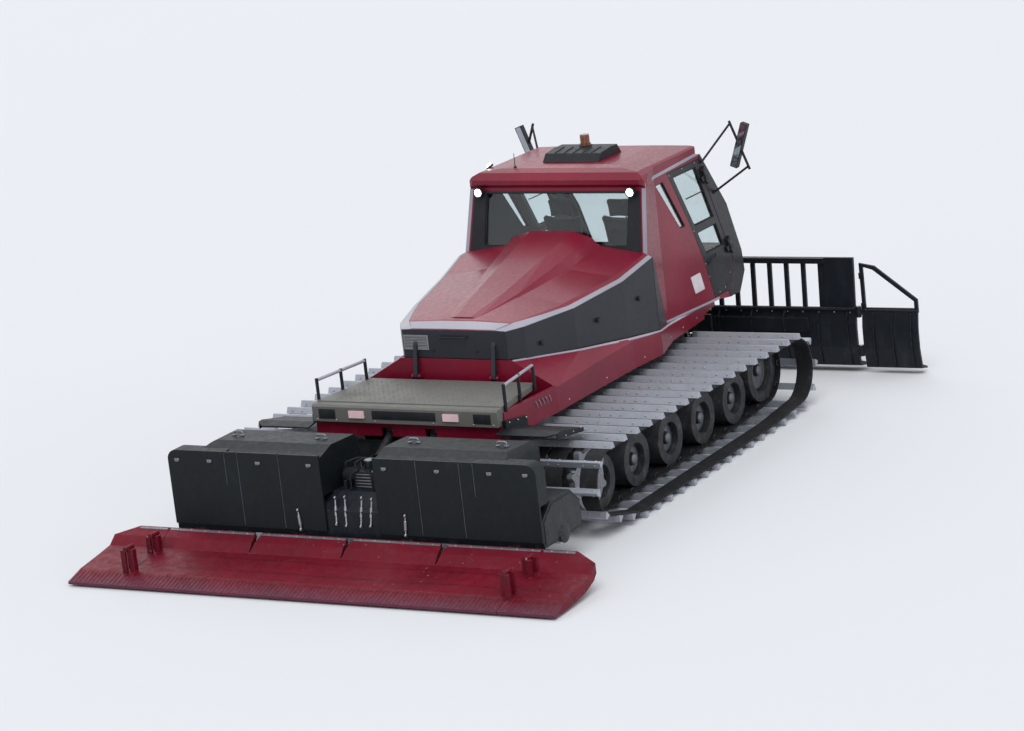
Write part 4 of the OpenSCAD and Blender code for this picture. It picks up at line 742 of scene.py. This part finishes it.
# Roof: antenna, hatch ribs and hinge, beacon collar and ribs
roof, ribs = Build(), Build()
roof.lathe([(20, -4), (20, 6), (11, 16), (5, 22), (4, 150), (2, 156)], V(1010, 560, 2872), Z, 12)
for y in (-220, -110, 0, 110, 220):
    roof.pipe([V(1290, y, 2968), V(1478, y, 2987), V(1500, y, 2989)], 7, sides=6)
for y in (-240, 240):
    roof.block(V(1752, y, 2893), (46, 60, 16), 5)
roof.pipe([V(1196, -300, 2889), V(1196, 300, 2889)], 8)
roof.lathe([(64, -2), (72, -2), (74, 6), (66, 12), (55, 12)], V(1570, 0, 2985.5), Z, 28)
roof.done("roof_fittings", "trim")
for i in range(6):
    ribs.lathe([(50.5, 0), (52, 3), (52, 7), (50.5, 10)], V(1570, 0, 3017 + i * 14), Z, 28)
ribs.done("beacon_ribs", "amber")

# Nose: grille between the lamps, lower panels, rubber along its edges
nose, lips = Build(), Build()
nose.frame_plate(on(nose_x, -1, (-420, 1292), (420, 1292), (400, 1478), (-400, 1478)),
                 on(nose_x, -1, (-395, 1312), (395, 1312), (378, 1460), (-378, 1460)), V(1.5, 0, 0))
for z in range(1318, 1470, 19):
    nose.block(V(nose_x(z) - 4, 0, z), (9, 780, 7), 2, tilt(35))
nose.block(V(nose_x(1386) - 5, 0, 1386), (5, 10, 160), 2)
nose.prism(on(nose_x, -3, (-392, 1314), (392, 1314), (376, 1458), (-376, 1458)), V(1.6, 0, 0))
for y in (-700, 700):
    nose.block(V(3040, y, 1181), (8, 190, 150), 3.5, tilt(36.3))
nose.done("nose_grille", "trim")
for x, z in ((3101, 1268), (2952, 1067)):
    lips.pipe([V(x, -960, z), V(x, 960, z)], 5)
lips.done("nose_edges", "rubber")

# Blank plates on the cab's sides
plates = Build()
for side in (-1, 1):
    corners = at_y(side * (CAB_HALF + 0.2), (1800, 1500), (2030, 1500), (2110, 1300), (1880, 1300))
    plates.prism(rounded(corners, 16, steps=4), V(0, side * 2.5, 0))
plates.done("blank_plates", "sign")

# Vents: louvre at the hood's rear, slots on the body's sides beside the deck
louvre, vents = Build(), Build()
louvre.frame_plate([V(-1519.5, y, z) for y, z in ((300, 1562), (585, 1562), (585, 1712), (300, 1712))],
                   [V(-1519.5, y, z) for y, z in ((314, 1576), (571, 1576), (571, 1698), (314, 1698))],
                   V(-9, 0, 0))
for i in range(8):
    louvre.block(V(-1522, 442, 1583 + i * 15.5), (12, 258, 6), 1.5, tilt(-40))
louvre.done("hood_louvre", "vent", "hood")
for side in (-1, 1):
    for i in range(5):
        x = -1650 - i * 62
        foot, lean = V(x, side * (1110.3 + 50 * (x + 1520) / 1030), 1112), V(-34, 0, 70)
        vents.pipe([foot, foot + lean * 0.5 + V(0, side * 3, 0), foot + lean], 7)
vents.done("side_vents", "vent")

# Hood: side latches, rear catches and grab rail
hood = Build()
for side in (-1, 1):
    for x, half, z in ((-1150, 789, 1560), (-350, 1003, 1590), (350, 1117, 1640)):
        hood.block(V(x, side * (half + 3), z), (90, 12, 46), 5, tilt(-side * 14, "Z"))
    hood.lathe([(13, 0), (13, 6), (9, 9)], V(-1521, side * 250, 1560), V(-1, 0, 0), 12)
hood.pipe([V(-1519, -150, 1700), V(-1560, -150, 1700), V(-1560, 150, 1700), V(-1519, 150, 1700)], 9, 22)
hood.done("hood_latches", "trim", "hood")

# Load deck: tread bars, rail sleeves, lip panels, bolts
DECK_TOP = 1290
LIP_X = -2613
TREAD_HALF = 915     # half width of the treaded floor
tread, sleeves, lip, bolts = Build(), Build(), Build(), Build()
for i in range(19):
    for j in range(34):
        at = V(-1690 - i * 42, (j - 16.5) * 56 + (14 if i % 2 else -14), DECK_TOP)
        if abs(at.y) > TREAD_HALF:
            continue
        turn = math.radians(45 if (i + j) % 2 else -45)
        a, b = V(math.cos(turn), math.sin(turn), 0), V(-math.sin(turn), math.cos(turn), 0)
        tread.skin([[at + Z * rise + way for way in (a * half, b * width, a * -half, b * -width)]
                    for half, width, rise in ((14, 3.4, -1), (14, 3.4, 0), (9, 1.6, 1.8))])
tread.done("deck_tread", "deck")
for side in (-1, 1):
    sleeves.pipe([V(x, side * (958.3 + 110 * (-1650 - x) / 850), 1483) for x in (-2452, -1698)], 16.5,
                 sides=14)
sleeves.done("rail_sleeves", "silver")
lip.block(V(LIP_X, 0, 1195), (7, 720, 86), 3)
for y in (-880, 880):
    lip.block(V(LIP_X, y, 1190), (7, 190, 96), 3)
lip.done("lip_panels", "trim")
for y in (-1000, -780, -330, 330, 780, 1000):
    bolts.bolt(V(LIP_X + 3, y, 1130), V(-1, 0, 0), 8, 6)
for side in (-1, 1):
    out = V(0, side, 0)
    for x, z in ((-2480, 1129), (-2330, 1114), (-2180, 1097)):
        bolts.bolt(V(x, side * (1100 + 50 * (x + 2550) / 1030), z), out, 8, 6)
    for x in (-2470, -2320, -2170):
        bolts.bolt(V(x, side * 1699.5, 1012 - (x + 2120) * 0.02), out, 7, 5)
    for x in (2300, 1900, 1500, 1100, 300, -500, -1300):
        bolts.bolt(V(x, side * (row_at(BODY, x, 1) - 0.5), 1030), out, 8, 5)
bolts.done("body_bolts", "bolt")


# Tracks: ribbons over the belts, bolts and ice spikes on each bar, guide horns inside. All are read from the
# places of the belts and bars
def islands(node):
    """Vertex coordinates, in millimetres from mid track, of each connected solid of a node."""
    part = bmesh.new()
    part.from_mesh(nodes[node].data)
    bmesh.ops.remove_doubles(part, verts=part.verts, dist=0.0002)
    seen, out = set(), []
    for start in part.verts:
        if start in seen:
            continue
        stack, group = [start], []
        seen.add(start)
        while stack:
            v = stack.pop()
            group.append(V((v.co.x - SHIFT) * 1000, v.co.y * 1000, v.co.z * 1000))
            for e in v.link_edges:
                w = e.other_vert(v)
                if w not in seen:
                    seen.add(w)
                    stack.append(w)
        out.append(group)
    part.free()
    return out


def convex_ring(points):
    """Corners of the convex outline round points [x, z], in order."""
    points = sorted(set((round(x, 2), round(z, 2)) for x, z in points))
    halves = []
    for run in (points, points[::-1]):
        half = []
        for p in run:
            while len(half) > 1 and ((half[-1][0] - half[-2][0]) * (p[1] - half[-2][1])
                                     - (half[-1][1] - half[-2][1]) * (p[0] - half[-2][0])) <= 0.5:
                half.pop()
            half.append(p)
        halves.append(half[:-1])
    return halves[0] + halves[1]


def moved_out(ring, offset):
    """The ring [x, z], wound anticlockwise, with every corner moved out by offset."""
    out = []
    for i, p in enumerate(ring):
        a, b = ring[i - 1], ring[(i + 1) % len(ring)]
        way = Vector((b[0] - a[0], b[1] - a[1])).normalized()
        out.append((p[0] + way.y * offset, p[1] - way.x * offset))
    return out


BELT_THICKNESS = 14
BAR_WIDTH = 1200     # least width of a bar, more than any belt has
for tag, side in (("left", 1), ("right", -1)):
    hardware, horns, belts = Build(), Build(), Build()
    mid = side * TRACK_MID
    for group in islands("track_" + tag):
        low, high = min(p.y for p in group), max(p.y for p in group)
        if high - low < BAR_WIDTH:
            ring = convex_ring([(p.x, p.z) for p in group])
            outer, inner = moved_out(ring, 1.2), moved_out(ring, -BELT_THICKNESS - 1.5)
            low, high = low - 1.5, high + 1.5
            belts.skin([[V(a[0], low, a[1]), V(a[0], high, a[1]), V(b[0], high, b[1]), V(b[0], low, b[1])]
                        for a, b in zip(outer + outer[:1], inner + inner[:1])])
            continue
        # The two corners of the bar's end that are closest together are its tip
        corners = []
        for p in group:
            if p.y > high - 1 and all((p - q).length > 1 for q in corners):
                corners.append(p)
        pair = min(combinations(corners, 2), key=lambda ends: (ends[0] - ends[1]).length)
        tip = (pair[0] + pair[1]) / 2
        rest = [c for c in corners if c not in pair]
        foot = sum(rest, V(0, 0, 0)) / len(rest)
        up = tip - foot
        up.y = 0
        up.normalize()
        along = up.cross(V(0, 1, 0)).normalized()
        for dy in (-560, -440, -170, -60, 60, 170, 440, 560):
            for way in (-1, 1):
                base = V(foot.x, mid + dy, foot.z) + up * 26 + along * (way * 27)
                hardware.bolt(base, up * 0.5 + along * way, 8, 8)
        for dy in (-320, 320):
            hardware.block(V(tip.x, mid + dy, tip.z) - up * 26, (30, 40, 30),
                           turn=Matrix((along, V(0, 1, 0), up)).transposed())
        for dy in (-195, 195):
            base = V(foot.x, mid + dy, foot.z) - up * 13.5
            a, b = base + along * 26, base - along * 26
            horns.pipe([a, a - up * 44, b - up * 44, b], 6, 16, sides=6)
    belts.done("track_belts_" + tag, "tread")
    hardware.done("track_hardware_" + tag, "bolt")
    horns.done("track_horns_" + tag, "frame")

# Wheels: pressed faces, nuts and hub caps on both rows of wheels, and covers on the sprockets
WHEELS = [(-1740 + i * 747.5, 344.6, 270) for i in range(5)] + [(1950, 455, 335)]     # x, z and radius
faces, nuts = Build(), Build()
for side in (-1, 1):
    out = V(0, side, 0)
    for x, z, radius in WHEELS:
        rim = radius - 105
        hub = V(x, side * (TRACK_MID + 45), z)
        faces.lathe([(78, 0.3), (78, 6), (rim - 60, 10), (rim - 48, 26), (rim - 40, 30), (rim - 26, 40),
                     (rim - 24, 36)], hub, out, 36)
        faces.lathe([(40, 66), (52, 66), (54, 74), (46, 84), (20, 92), (4, 93)], hub, out, 20)
        nuts.bolt_ring(hub + out * 5, out, 66, 6, 9, 12, first=30)
        nuts.bolt_ring(hub + out * 20, out, rim - 54, 10, 6, 8)
    centre = V(-2310, side * (TRACK_MID + 335), 530)
    faces.lathe([(176, 0), (176, 6), (150, 14), (70, 18), (60, 30), (20, 34), (4, 35)], centre, out, 36)
    nuts.bolt_ring(centre + out * 8, out, 160, 12, 8, 10)
    nuts.bolt_ring(centre - out * 0.5, out, 235, 12, 9, 9)
faces.done("wheel_faces", "wheel")
nuts.done("wheel_nuts", "bolt")

# Blade: back ribs, worn edge plate and bolts; wings: ribs, hinge plates and pins
ribs, edge, studs = Build(), Build(), Build()
for y in (-1950, -1600, -1200, -800, -400, 400, 800, 1200, 1600, 1950):
    back = 3477 if abs(y) < 1500 else 3505
    ribs.prism(at_y(y - 7, (3572, 96), (3522, 300), (3522, 560), (3560, 734), (3545, 734), (back, 640),
                    (back, 470), (3500, 300), (3550, 92)), V(0, 14, 0))
ribs.pipe([V(3524, -2045, 735), V(3524, 2045, 735)], 16, sides=10)
ribs.done("blade_ribs", "blade", "blade")
edge.skin([at_y(y, (3700, 60), (3799, 60.6), (3799, 62.5), (3700, 90)) for y in (-2048, 2048)])
edge.done("blade_edge_plate", "frame", "blade")
for i in range(22):
    y = -1980 + i * 188.57
    studs.bolt(V(3745, y, 74.4), V(0.27, 0, 0.96), 11, 7)
    studs.bolt(V(3545, y, 690), V(-1, 0, 0.1), 8, 7)
studs.done("blade_bolts", "bolt", "blade")
for tag, side in (("left", 1), ("right", -1)):
    wing, pins = Build(), Build()
    for y in (2260, 2480, 2700):
        wing.prism(at_y(side * y - 6, (3556, 74), (3517, 290), (3517, 540), (3546, 696), (3534, 696),
                        (3494, 540), (3494, 300), (3538, 74)), V(0, 12, 0))
    wing.pipe([V(3552, side * 2128, 716), V(3552, side * 2776, 716)], 13)
    for z in (320, 760, 1100):
        wing.block(V(3556, side * 2146, z), (14, 60, 70))
    wing.done("wing_ribs_" + tag, "blade", tag + "_wing")
    for z in (320, 760):
        pins.lathe([(13, -3), (24, -3), (24, 6), (13, 9)], V(3540, side * 2085, z), Z, 12)
    pins.done("wing_pins_" + tag, "bolt", "blade")

# Linkage hardware: caps at both ends of the pins, given by x, z, the pair's middle and half a pin's length
caps = Build()
for x, z, y, half in ((2260, 600, 470, 75), (2260, 835, 250, 60), (2255, 930, 380, 55), (-2570, 700, 400, 75),
                      (-2430, 1000, 250, 55)):
    for side in (-1, 1):
        for way in (-1, 1):
            at = V(x, side * y + way * half, z)
            caps.lathe([(29, -3), (37, -3), (37, 4), (22, 8)], at, V(0, way, 0), 14)
caps.done("pivot_caps", "bolt")

# Tiller: straps in the covers' seams, latches, lifting eyes, pipes on the drive, bright links
COVER_FACE = -3711   # the covers' rear side
EYE_X = -3290
DRIVE_X = -3340
PIPE_Y = 60          # from the middle to where the drive's pipes come together
straps, fixings, pipes, links = Build(), Build(), Build(), Build()
for side in (-1, 1):
    for y, low in ((767, 372), (1237, 372), (1387, 772)):
        straps.pipe([V(COVER_FACE, side * y, z) for z in (low, 1098)], 5.5, sides=6, flat=0.8)
    for y in (420, 1000, 1560, 1940):
        fixings.block(V(COVER_FACE - 7, side * y, 1010), (8, 54, 26), 3)
        fixings.pipe([V(COVER_FACE - x, side * y + dy, z) for x, dy, z in (
            (10, -14, 1002), (19, -14, 996), (19, 14, 996), (10, 14, 1002))], 3.5, 6, sides=6)
    for y in (520, 1480):
        eye = V(EYE_X, side * y, 1148)
        fixings.pipe([eye + V(0, dy, dz) for dy, dz in ((-46, 0), (-46, 38), (46, 38), (46, 0))], 11, 30)
        for dy in (-46, 46):
            fixings.lathe([(22, -2), (22, 5), (14, 8)], eye + V(0, dy, 1), Z, 12)
    for y in (380, 700, 1050, 1400, 1640):
        fixings.bolt(V(-3001, side * y, 740), V(1, 0, 0), 8, 6)
    for y in (140, 250):
        pipes.pipe([V(DRIVE_X, side * y, 890), V(DRIVE_X, side * y, 935),
                    V(DRIVE_X + 100, side * (y * 0.6), 960), V(-3130, side * PIPE_Y, 900),
                    V(-3130, side * PIPE_Y, 712)], 11, 40)
    pipes.pipe([V(-3400, side * PIPE_Y, 870), V(-3440, side * PIPE_Y, 900), V(-3480, side * 120, 850),
                V(-3480, side * 120, 716)], 10, 30)
    pipes.lathe([(20, -2), (20, 12), (14, 16)], V(DRIVE_X, side * 140, 886), Z, 10)
    pipes.lathe([(58, -2), (62, 2), (62, 10), (56, 14)], V(DRIVE_X, side * 250, 815), V(0, side, 0), 20)
    for y, head_x, head_z, foot_x, foot_z in ((600, -3722, 560, -3728, 366), (95, -3652, 690, -3700, 420),
                                              (205, -3652, 680, -3700, 430)):
        head, foot = V(head_x, side * y, head_z), V(foot_x, side * (y - 14), foot_z)
        middle, way = (head + foot) / 2, (head - foot).normalized() * 45
        links.pipe([head, foot], 9)
        links.pipe([middle + way, middle - way], 15)
        for end in (head, foot):
            links.lathe([(17, -8), (19, 0), (17, 8)], end, V(0, 1, 0), 12)
straps.done("seam_straps", "strap", "tiller")
fixings.done("cover_fixings", "steel", "tiller")
pipes.done("drive_pipes", "rubber", "tiller")
links.done("comb_links", "bolt", "tiller")
boss, end_plates = Build(), Build()
boss.lathe([(40, -2), (52, 0), (52, 8), (30, 16), (6, 18)], V(-3300, 0, 955), Z, 20)
boss.bolt_ring(V(-3300, 0, 962), Z, 42, 6, 6, 6)
for y in (-90, 90):
    for x in (-3410, -3190):
        boss.bolt(V(x, y, 875), Z, 9, 8)
for i in range(5):
    boss.block(V(-3432, 0, 730 + i * 30), (10, 190, 10), 3)
boss.done("drive_cap", "steel", "tiller")
for side in (-1, 1):
    out = V(0, side, 0)
    end_plates.prism(at_y(side * 2050.3, (-2985, 330), (-2985, 540), (-3145, 670), (-3485, 670), (-3660, 540),
                          (-3660, 330)), out * 5)
    bearing = V(-3310, side * 2050, 335)
    end_plates.lathe([(92, 4), (92, 12), (70, 20), (34, 24), (6, 25)], bearing, out)
    end_plates.bolt_ring(bearing + out * 11, out, 78, 8, 7, 7, first=20)
end_plates.done("tiller_end_plates", "frame", "tiller")

# Comb: fins along the rear edge, clamp bars with bolts along the front
PROFILE = [(-3775, 330), (-3900, 270), (-4000, 190), (-4180, 160), (-4500, 115), (-4720, 50)]
CLAMP_X = -3800
CLAMP_END = 12       # from a clamp bar's end to its sheet's


def spread(start, end, pitch):
    """Middles of equal steps, of about the pitch, from start to end."""
    count = max(2, int((end - start) / pitch))
    return [start + (i + 0.5) * (end - start) / count for i in range(count)]


slope, normal = V(-125, 0, -60).normalized(), V(-60, 0, 125).normalized()
for tag, body, spans, reach in (
        ("middle", "comb", ((-2078, -1072), (-1008, -32), (32, 1008), (1072, 2078)), (-2076, 2076)),
        ("left", "left_comb", ((2090, 2440),), (2090, 2676)),
        ("right", "right_comb", ((-2440, -2090),), (-2676, -2090))):
    fins, bars, studs = Build(), Build(), Build()
    for span in spans:
        start, end = span[0] + CLAMP_END, span[1] - CLAMP_END
        clamp_z = row_at(PROFILE, CLAMP_X, 1) + 1
        bars.skin([[V(CLAMP_X, y, clamp_z) + slope * a + normal * b
                    for a, b in ((-14, -2), (14, -2), (12, 5), (-12, 5))] for y in (start, end)])
        for y in spread(start, end, 150):
            studs.bolt(V(CLAMP_X, y, clamp_z) + normal * 5, normal, 7, 6)
    for y in spread(*reach, 46):
        rings = []
        for x, half, rise in ((-4520, 3, 0.5), (-4560, 8, 5), (-4700, 9, 6), (-4718, 8, 3)):
            z = row_at(PROFILE, x, 1)
            rings.append([V(x, y - half, z - 1), V(x, y + half, z - 1), V(x, y + half * 0.4, z + rise),
                          V(x, y - half * 0.4, z + rise)])
        fins.skin(rings)
    fins.done("comb_fins_" + tag, "comb", body)
    bars.done("comb_clamp_" + tag, "steel", body)
    studs.done("comb_bolts_" + tag, "bolt", body)

# Cab interior: linings, mat, console, levers, screen, pedals, seat stands
room = Build()
room.prism([V(x, y, 2746) for x, y in ((935, -838), (2185, -838), (2185, 838), (935, 838))], V(0, 0, 6))
for y in (-560, 0, 560):
    room.block(V(1560, y, 2744), (1180, 200, 14), 6, segments=3)
room.prism([V(730, y, z) for y, z in ((-985, 1262), (985, 1262), (985, 1985), (-985, 1985))], V(8, 0, 0))
room.done("roof_lining", "lining")


def inside(face):
    """The shell's faces towards the cab's room."""
    c, n = face.calc_center_median(), face.normal
    x, y, z = (c.x - SHIFT) * 1000, c.y * 1000, c.z * 1000
    return 715 < x < 3050 and 700 < abs(y) < 1045 and 1262 < z < 2700 and n.y * y < 0 and abs(n.y) > 0.7


lifted_faces("cab_shell", inside, 2.5, 3.0, "side_lining", "lining")
SEAT_YS = (330, -380)
mat, controls, screen, stands = Build(), Build(), Build(), Build()
mat.prism(rounded([V(x, y, 1250.6) for x, y in ((760, -930), (1180, -890), (2680, -890), (2680, 890),
                                                (1180, 890), (760, 930))], 40), V(0, 0, 9))
for i in range(24):
    mat.block(V(2210, -780 + i * 68, 1260), (900, 16, 4), 1.5, segments=1)
mat.done("floor_mat", "rubber")
controls.block(V(1900, -25, 1445), (430, 150, 388), 22, segments=3)
controls.block(V(1960, -25, 1652), (330, 130, 40), 14, tilt(-6), 3)
controls.pipe([V(2040, -25, 1665), V(2052, -25, 1740), V(2048, -25, 1800)], 13, 20, sides=10)
controls.lathe([(14, -6), (24, 4), (27, 26), (24, 48), (12, 58), (3, 60)], V(2048, -25, 1790),
               V(0.05, 0, 1), 16)
for y in (-70, -50, 0, 20):
    controls.lathe([(7, 0), (6, 10), (5, 20), (9, 26), (6, 34)], V(1905, y, 1670), Z, 10)
SCREEN_MIDDLE, SCREEN_TURN = V(2850, 60, 1650), tilt(-22)
controls.block(SCREEN_MIDDLE, (34, 300, 200), 12, SCREEN_TURN, 3)
controls.pipe([V(2880, 60, 1560), V(2868, 60, 1640)], 14)
for y in (270, 390):
    controls.block(V(2660, y, 1330), (18, 70, 130), 6, tilt(-35))
    controls.pipe([V(2672, y, 1340), V(2706, y, 1420)], 8)
for y in (60, 200, 460, 560):
    controls.lathe([(34, 0), (36, 4), (30, 8)], V(2812, y, 1555), V(-0.6, 0, 0.8), 20)
controls.done("cab_controls", "trim")
corners = [V(2833, y, z) for y, z in ((-70, 1575), (190, 1575), (190, 1725), (-70, 1725))]
screen.prism(rounded(corners, 12, steps=3), V(-2, 0, 0))
bmesh.ops.rotate(screen.bm, matrix=SCREEN_TURN, verts=screen.bm.verts, cent=SCREEN_MIDDLE)
screen.done("cab_screen", "screen")
for y in SEAT_YS:
    stands.block(V(1900, y, 1262), (430, 400, 24), 8)
    for k in range(5):
        stands.block(V(1900, y, 1292 + k * 42), (390 - 10 * (k % 2), 360 - 16 * (k % 2), 40), 16, segments=3)
    stands.block(V(1905, y, 1518), (440, 410, 36), 10)
    for way in (-1, 1):
        stands.pipe([V(1700, y + way * 190, 1500), V(2110, y + way * 190, 1500)], 12)
        stands.pipe([V(1596, y + way * 250, 1560), V(1560, y + way * 262, 1640),
                     V(1532, y + way * 262, 1760)], 16, 30)
stands.done("seat_stands", "trim")

# Engine: covers, intake and radiator over the plain block, seen with the hood open
engine = Build()
for y in (-190, 190):
    engine.block(V(-350, y, 1408), (1060, 180, 62), 18, segments=3)
    for i in range(6):
        engine.lathe([(24, 0), (24, 10), (14, 16)], V(-800 + i * 180, y, 1438), Z, 14)
engine.lathe([(60, 0), (118, 6), (120, 330), (112, 346), (60, 352)], V(-980, 0, 1470), V(1, 0, 0), 28)
engine.pipe([V(-630, 0, 1470), V(-520, 0, 1470), V(-430, 60, 1450), V(-430, 120, 1430)], 44, 60, sides=14)
engine.block(V(440, 0, 1400), (90, 900, 420), 12)
for i in range(12):
    engine.block(V(388, -396 + i * 72, 1400), (16, 22, 370), 5, segments=1)
engine.done("engine_dressing", "engine")

# Seats: cushions blown up by a short cloth simulation, then stitched channels pressed in. Sizes in metres
VOXEL = 0.011
CLOTH_FRAMES = 20
STITCH_WIDTH = 0.0075
STITCH_DEPTH = 0.007


def cushion_mesh(size, crown, bow):
    """Closed pad about its own middle: crowned top, sides that pull in between the corners."""
    part = bmesh.new()
    bmesh.ops.create_cube(part, size=1)
    bmesh.ops.subdivide_edges(part, edges=part.edges[:], cuts=11, use_grid_fill=True)
    for v in part.verts:
        u = v.co * 2
        pull_x = 1 - bow * (1 - u.y * u.y) * abs(u.x) ** 3
        pull_y = 1 - bow * (1 - u.x * u.x) * abs(u.y) ** 3
        squeeze = 1 - 0.30 * (max(abs(u.x), abs(u.y)) ** 6)
        v.co = V(u.x / 2 * size[0] * pull_x, u.y / 2 * size[1] * pull_y,
                 u.z / 2 * size[2] * squeeze + crown * (1 - u.x ** 2) * (1 - u.y ** 2) * max(u.z, 0))
    mesh = bpy.data.meshes.new("pad")
    bmesh.ops.recalc_face_normals(part, faces=part.faces)
    part.to_mesh(mesh)
    part.free()
    return mesh


def inflate(piece, cap):
    """Remesh, blow up under pressure without gravity, and keep every point within cap of its start."""
    remesh = piece.modifiers.new("remesh", "REMESH")
    remesh.mode = "VOXEL"
    remesh.voxel_size = VOXEL
    graph = bpy.context.evaluated_depsgraph_get()
    fine = bpy.data.meshes.new_from_object(piece.evaluated_get(graph))
    piece.modifiers.clear()
    piece.data = fine
    start = [v.co.copy() for v in fine.vertices]
    cloth = piece.modifiers.new("cloth", "CLOTH")
    cloth.settings.use_pressure = True
    cloth.settings.uniform_pressure_force = 4.0
    cloth.settings.quality = 5
    cloth.settings.mass = 0.3
    cloth.settings.effector_weights.gravity = 0.0
    cloth.point_cache.frame_start = 1
    cloth.point_cache.frame_end = CLOTH_FRAMES
    scene = bpy.context.scene
    for number in range(1, CLOTH_FRAMES + 1):
        scene.frame_set(number)
    graph = bpy.context.evaluated_depsgraph_get()
    moved = [v.co.copy() for v in piece.evaluated_get(graph).data.vertices]
    piece.modifiers.clear()
    for v, a, b in zip(piece.data.vertices, start, moved):
        step = b - a
        v.co = a + step * min(1.0, cap / step.length) if step.length > 1e-9 else a
    scene.frame_set(1)


def channels(mesh, size, across, along):
    """Press sewn lines into a pad's upper side: places across and along, as shares of its half size."""
    lines = [(1, share * size[1] / 2) for share in across] + [(0, share * size[0] / 2) for share in along]
    for v in mesh.vertices:
        if v.co.z > 0:
            sink = max(math.exp(-((v.co[axis] - at) / STITCH_WIDTH) ** 2) for axis, at in lines)
            v.co.z -= STITCH_DEPTH * sink * min(1.0, v.co.z / 0.02)


def seat_turn(angle, axis="Y"):
    return Matrix.Rotation(math.radians(angle), 4, axis)


BACK_TURN = seat_turn(-12) @ seat_turn(90) @ seat_turn(180, "Z")
# Each pad: size, crown, bow, how far it may blow up, sewn lines across and along, place and turn
PADS = {
    "cushion": ((0.52, 0.49, 0.105), 0.018, 0.05, 0.022, (-0.62, 0.62), (-0.35, 0.1, 0.5),
                (1.905 + SHIFT, 0, 1.612), seat_turn(-2)),
    "back": ((0.62, 0.47, 0.10), 0.016, 0.06, 0.020, (-0.6, 0.6), (-0.55, -0.15, 0.25),
             (1.555 + SHIFT, 0, 1.945), BACK_TURN),
    "headrest": ((0.19, 0.26, 0.085), 0.010, 0.05, 0.014, (), (0.0,), (1.478 + SHIFT, 0, 2.335), BACK_TURN),
}
for kind, (size, crown, bow, cap, across, along, place, turn) in PADS.items():
    pad = add("driver_" + kind, cushion_mesh(size, crown, bow))
    inflate(pad, cap)
    channels(pad.data, size, across, along)
    pad.data.polygons.foreach_set("use_smooth", [True] * len(pad.data.polygons))
    pad.data.materials.clear()
    pad.data.materials.append(LOOKS["cloth"][2])
    twin = add("passenger_" + kind, pad.data.copy())
    for seat, y in zip((pad, twin), SEAT_YS):
        finer = seat.modifiers.new("finer", "SUBSURF")
        finer.levels = finer.render_levels = 1
        seat.matrix_world = Matrix.Translation((0, y / 1000, 0)) @ Matrix.Translation(place) @ turn
        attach(seat, "chassis")
        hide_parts("seats")

# Floor, light and camera
pale = Shader("pale_floor")
floor_color = pale.mix(pale.noise(0.25, 2), (0.745, 0.755, 0.775), (0.755, 0.765, 0.785))
bpy.ops.mesh.primitive_plane_add(size=400, location=(0, 0, 0))
floor = bpy.context.object
floor.name = "floor"
floor.data.materials.append(pale.set(Base_Color=floor_color, Roughness=0.9))

world = bpy.data.worlds.new("studio")
bpy.context.scene.world = world
world.use_nodes = True
world.node_tree.nodes.clear()
sky = Nodes(world.node_tree)
ray = sky.new("ShaderNodeLightPath").outputs
through = sky.math("MAXIMUM", ray["Is Glossy Ray"], ray["Is Transmission Ray"])
backdrop = sky.new("ShaderNodeMixShader")
sky.put(backdrop.inputs[0], sky.math("MAXIMUM", ray["Is Camera Ray"], through))
# What lights the scene, and what is seen of it
for socket, color, strength in ((1, (0.9, 0.94, 1.0), 0.55), (2, (0.86, 0.88, 0.92), 1.0)):
    even = sky.fill(sky.new("ShaderNodeBackground"), Color=color, Strength=strength)
    sky.put(backdrop.inputs[socket], even.outputs[0])
sky.put(sky.new("ShaderNodeOutputWorld").inputs[0], backdrop.outputs[0])


def soft_sun(name, place, strength, spread, color=(1, 1, 1)):
    """Even light from the direction of place, soft by its spread in radians."""
    data = bpy.data.lights.new(name, "SUN")
    data.energy = strength
    data.angle = spread
    data.color = color
    lamp = add(name, data)
    lamp.rotation_mode = "QUATERNION"
    lamp.rotation_quaternion = (-Vector(place)).to_track_quat("-Z", "Y")


soft_sun("key", (-6, -3.5, 10), 1.6, 0.7)
soft_sun("fill", (3, -9, 5), 0.5, 0.9, (0.93, 0.96, 1))
soft_sun("back", (6, 7, 7), 0.5, 0.9)

# The photograph's viewpoint, turned to the machine and drawn near by a longer lens
VIEWPOINT = Vector((-28.62 + SHIFT, -16.75, 9.14))
AIM = Vector((0.0, 0.0, 1.12))
ROLL = -6.5
camera_data = bpy.data.cameras.new("camera")
camera_data.sensor_width = 36
camera_data.lens = 116
camera = add("camera", camera_data)
camera.location = VIEWPOINT
camera.rotation_mode = "QUATERNION"
facing = (AIM - VIEWPOINT).to_track_quat("-Z", "Y").to_matrix()
camera.rotation_quaternion = (facing @ tilt(ROLL, "Z")).to_quaternion()
bpy.context.scene.camera = camera
bpy.context.scene.view_settings.view_transform = "Standard"
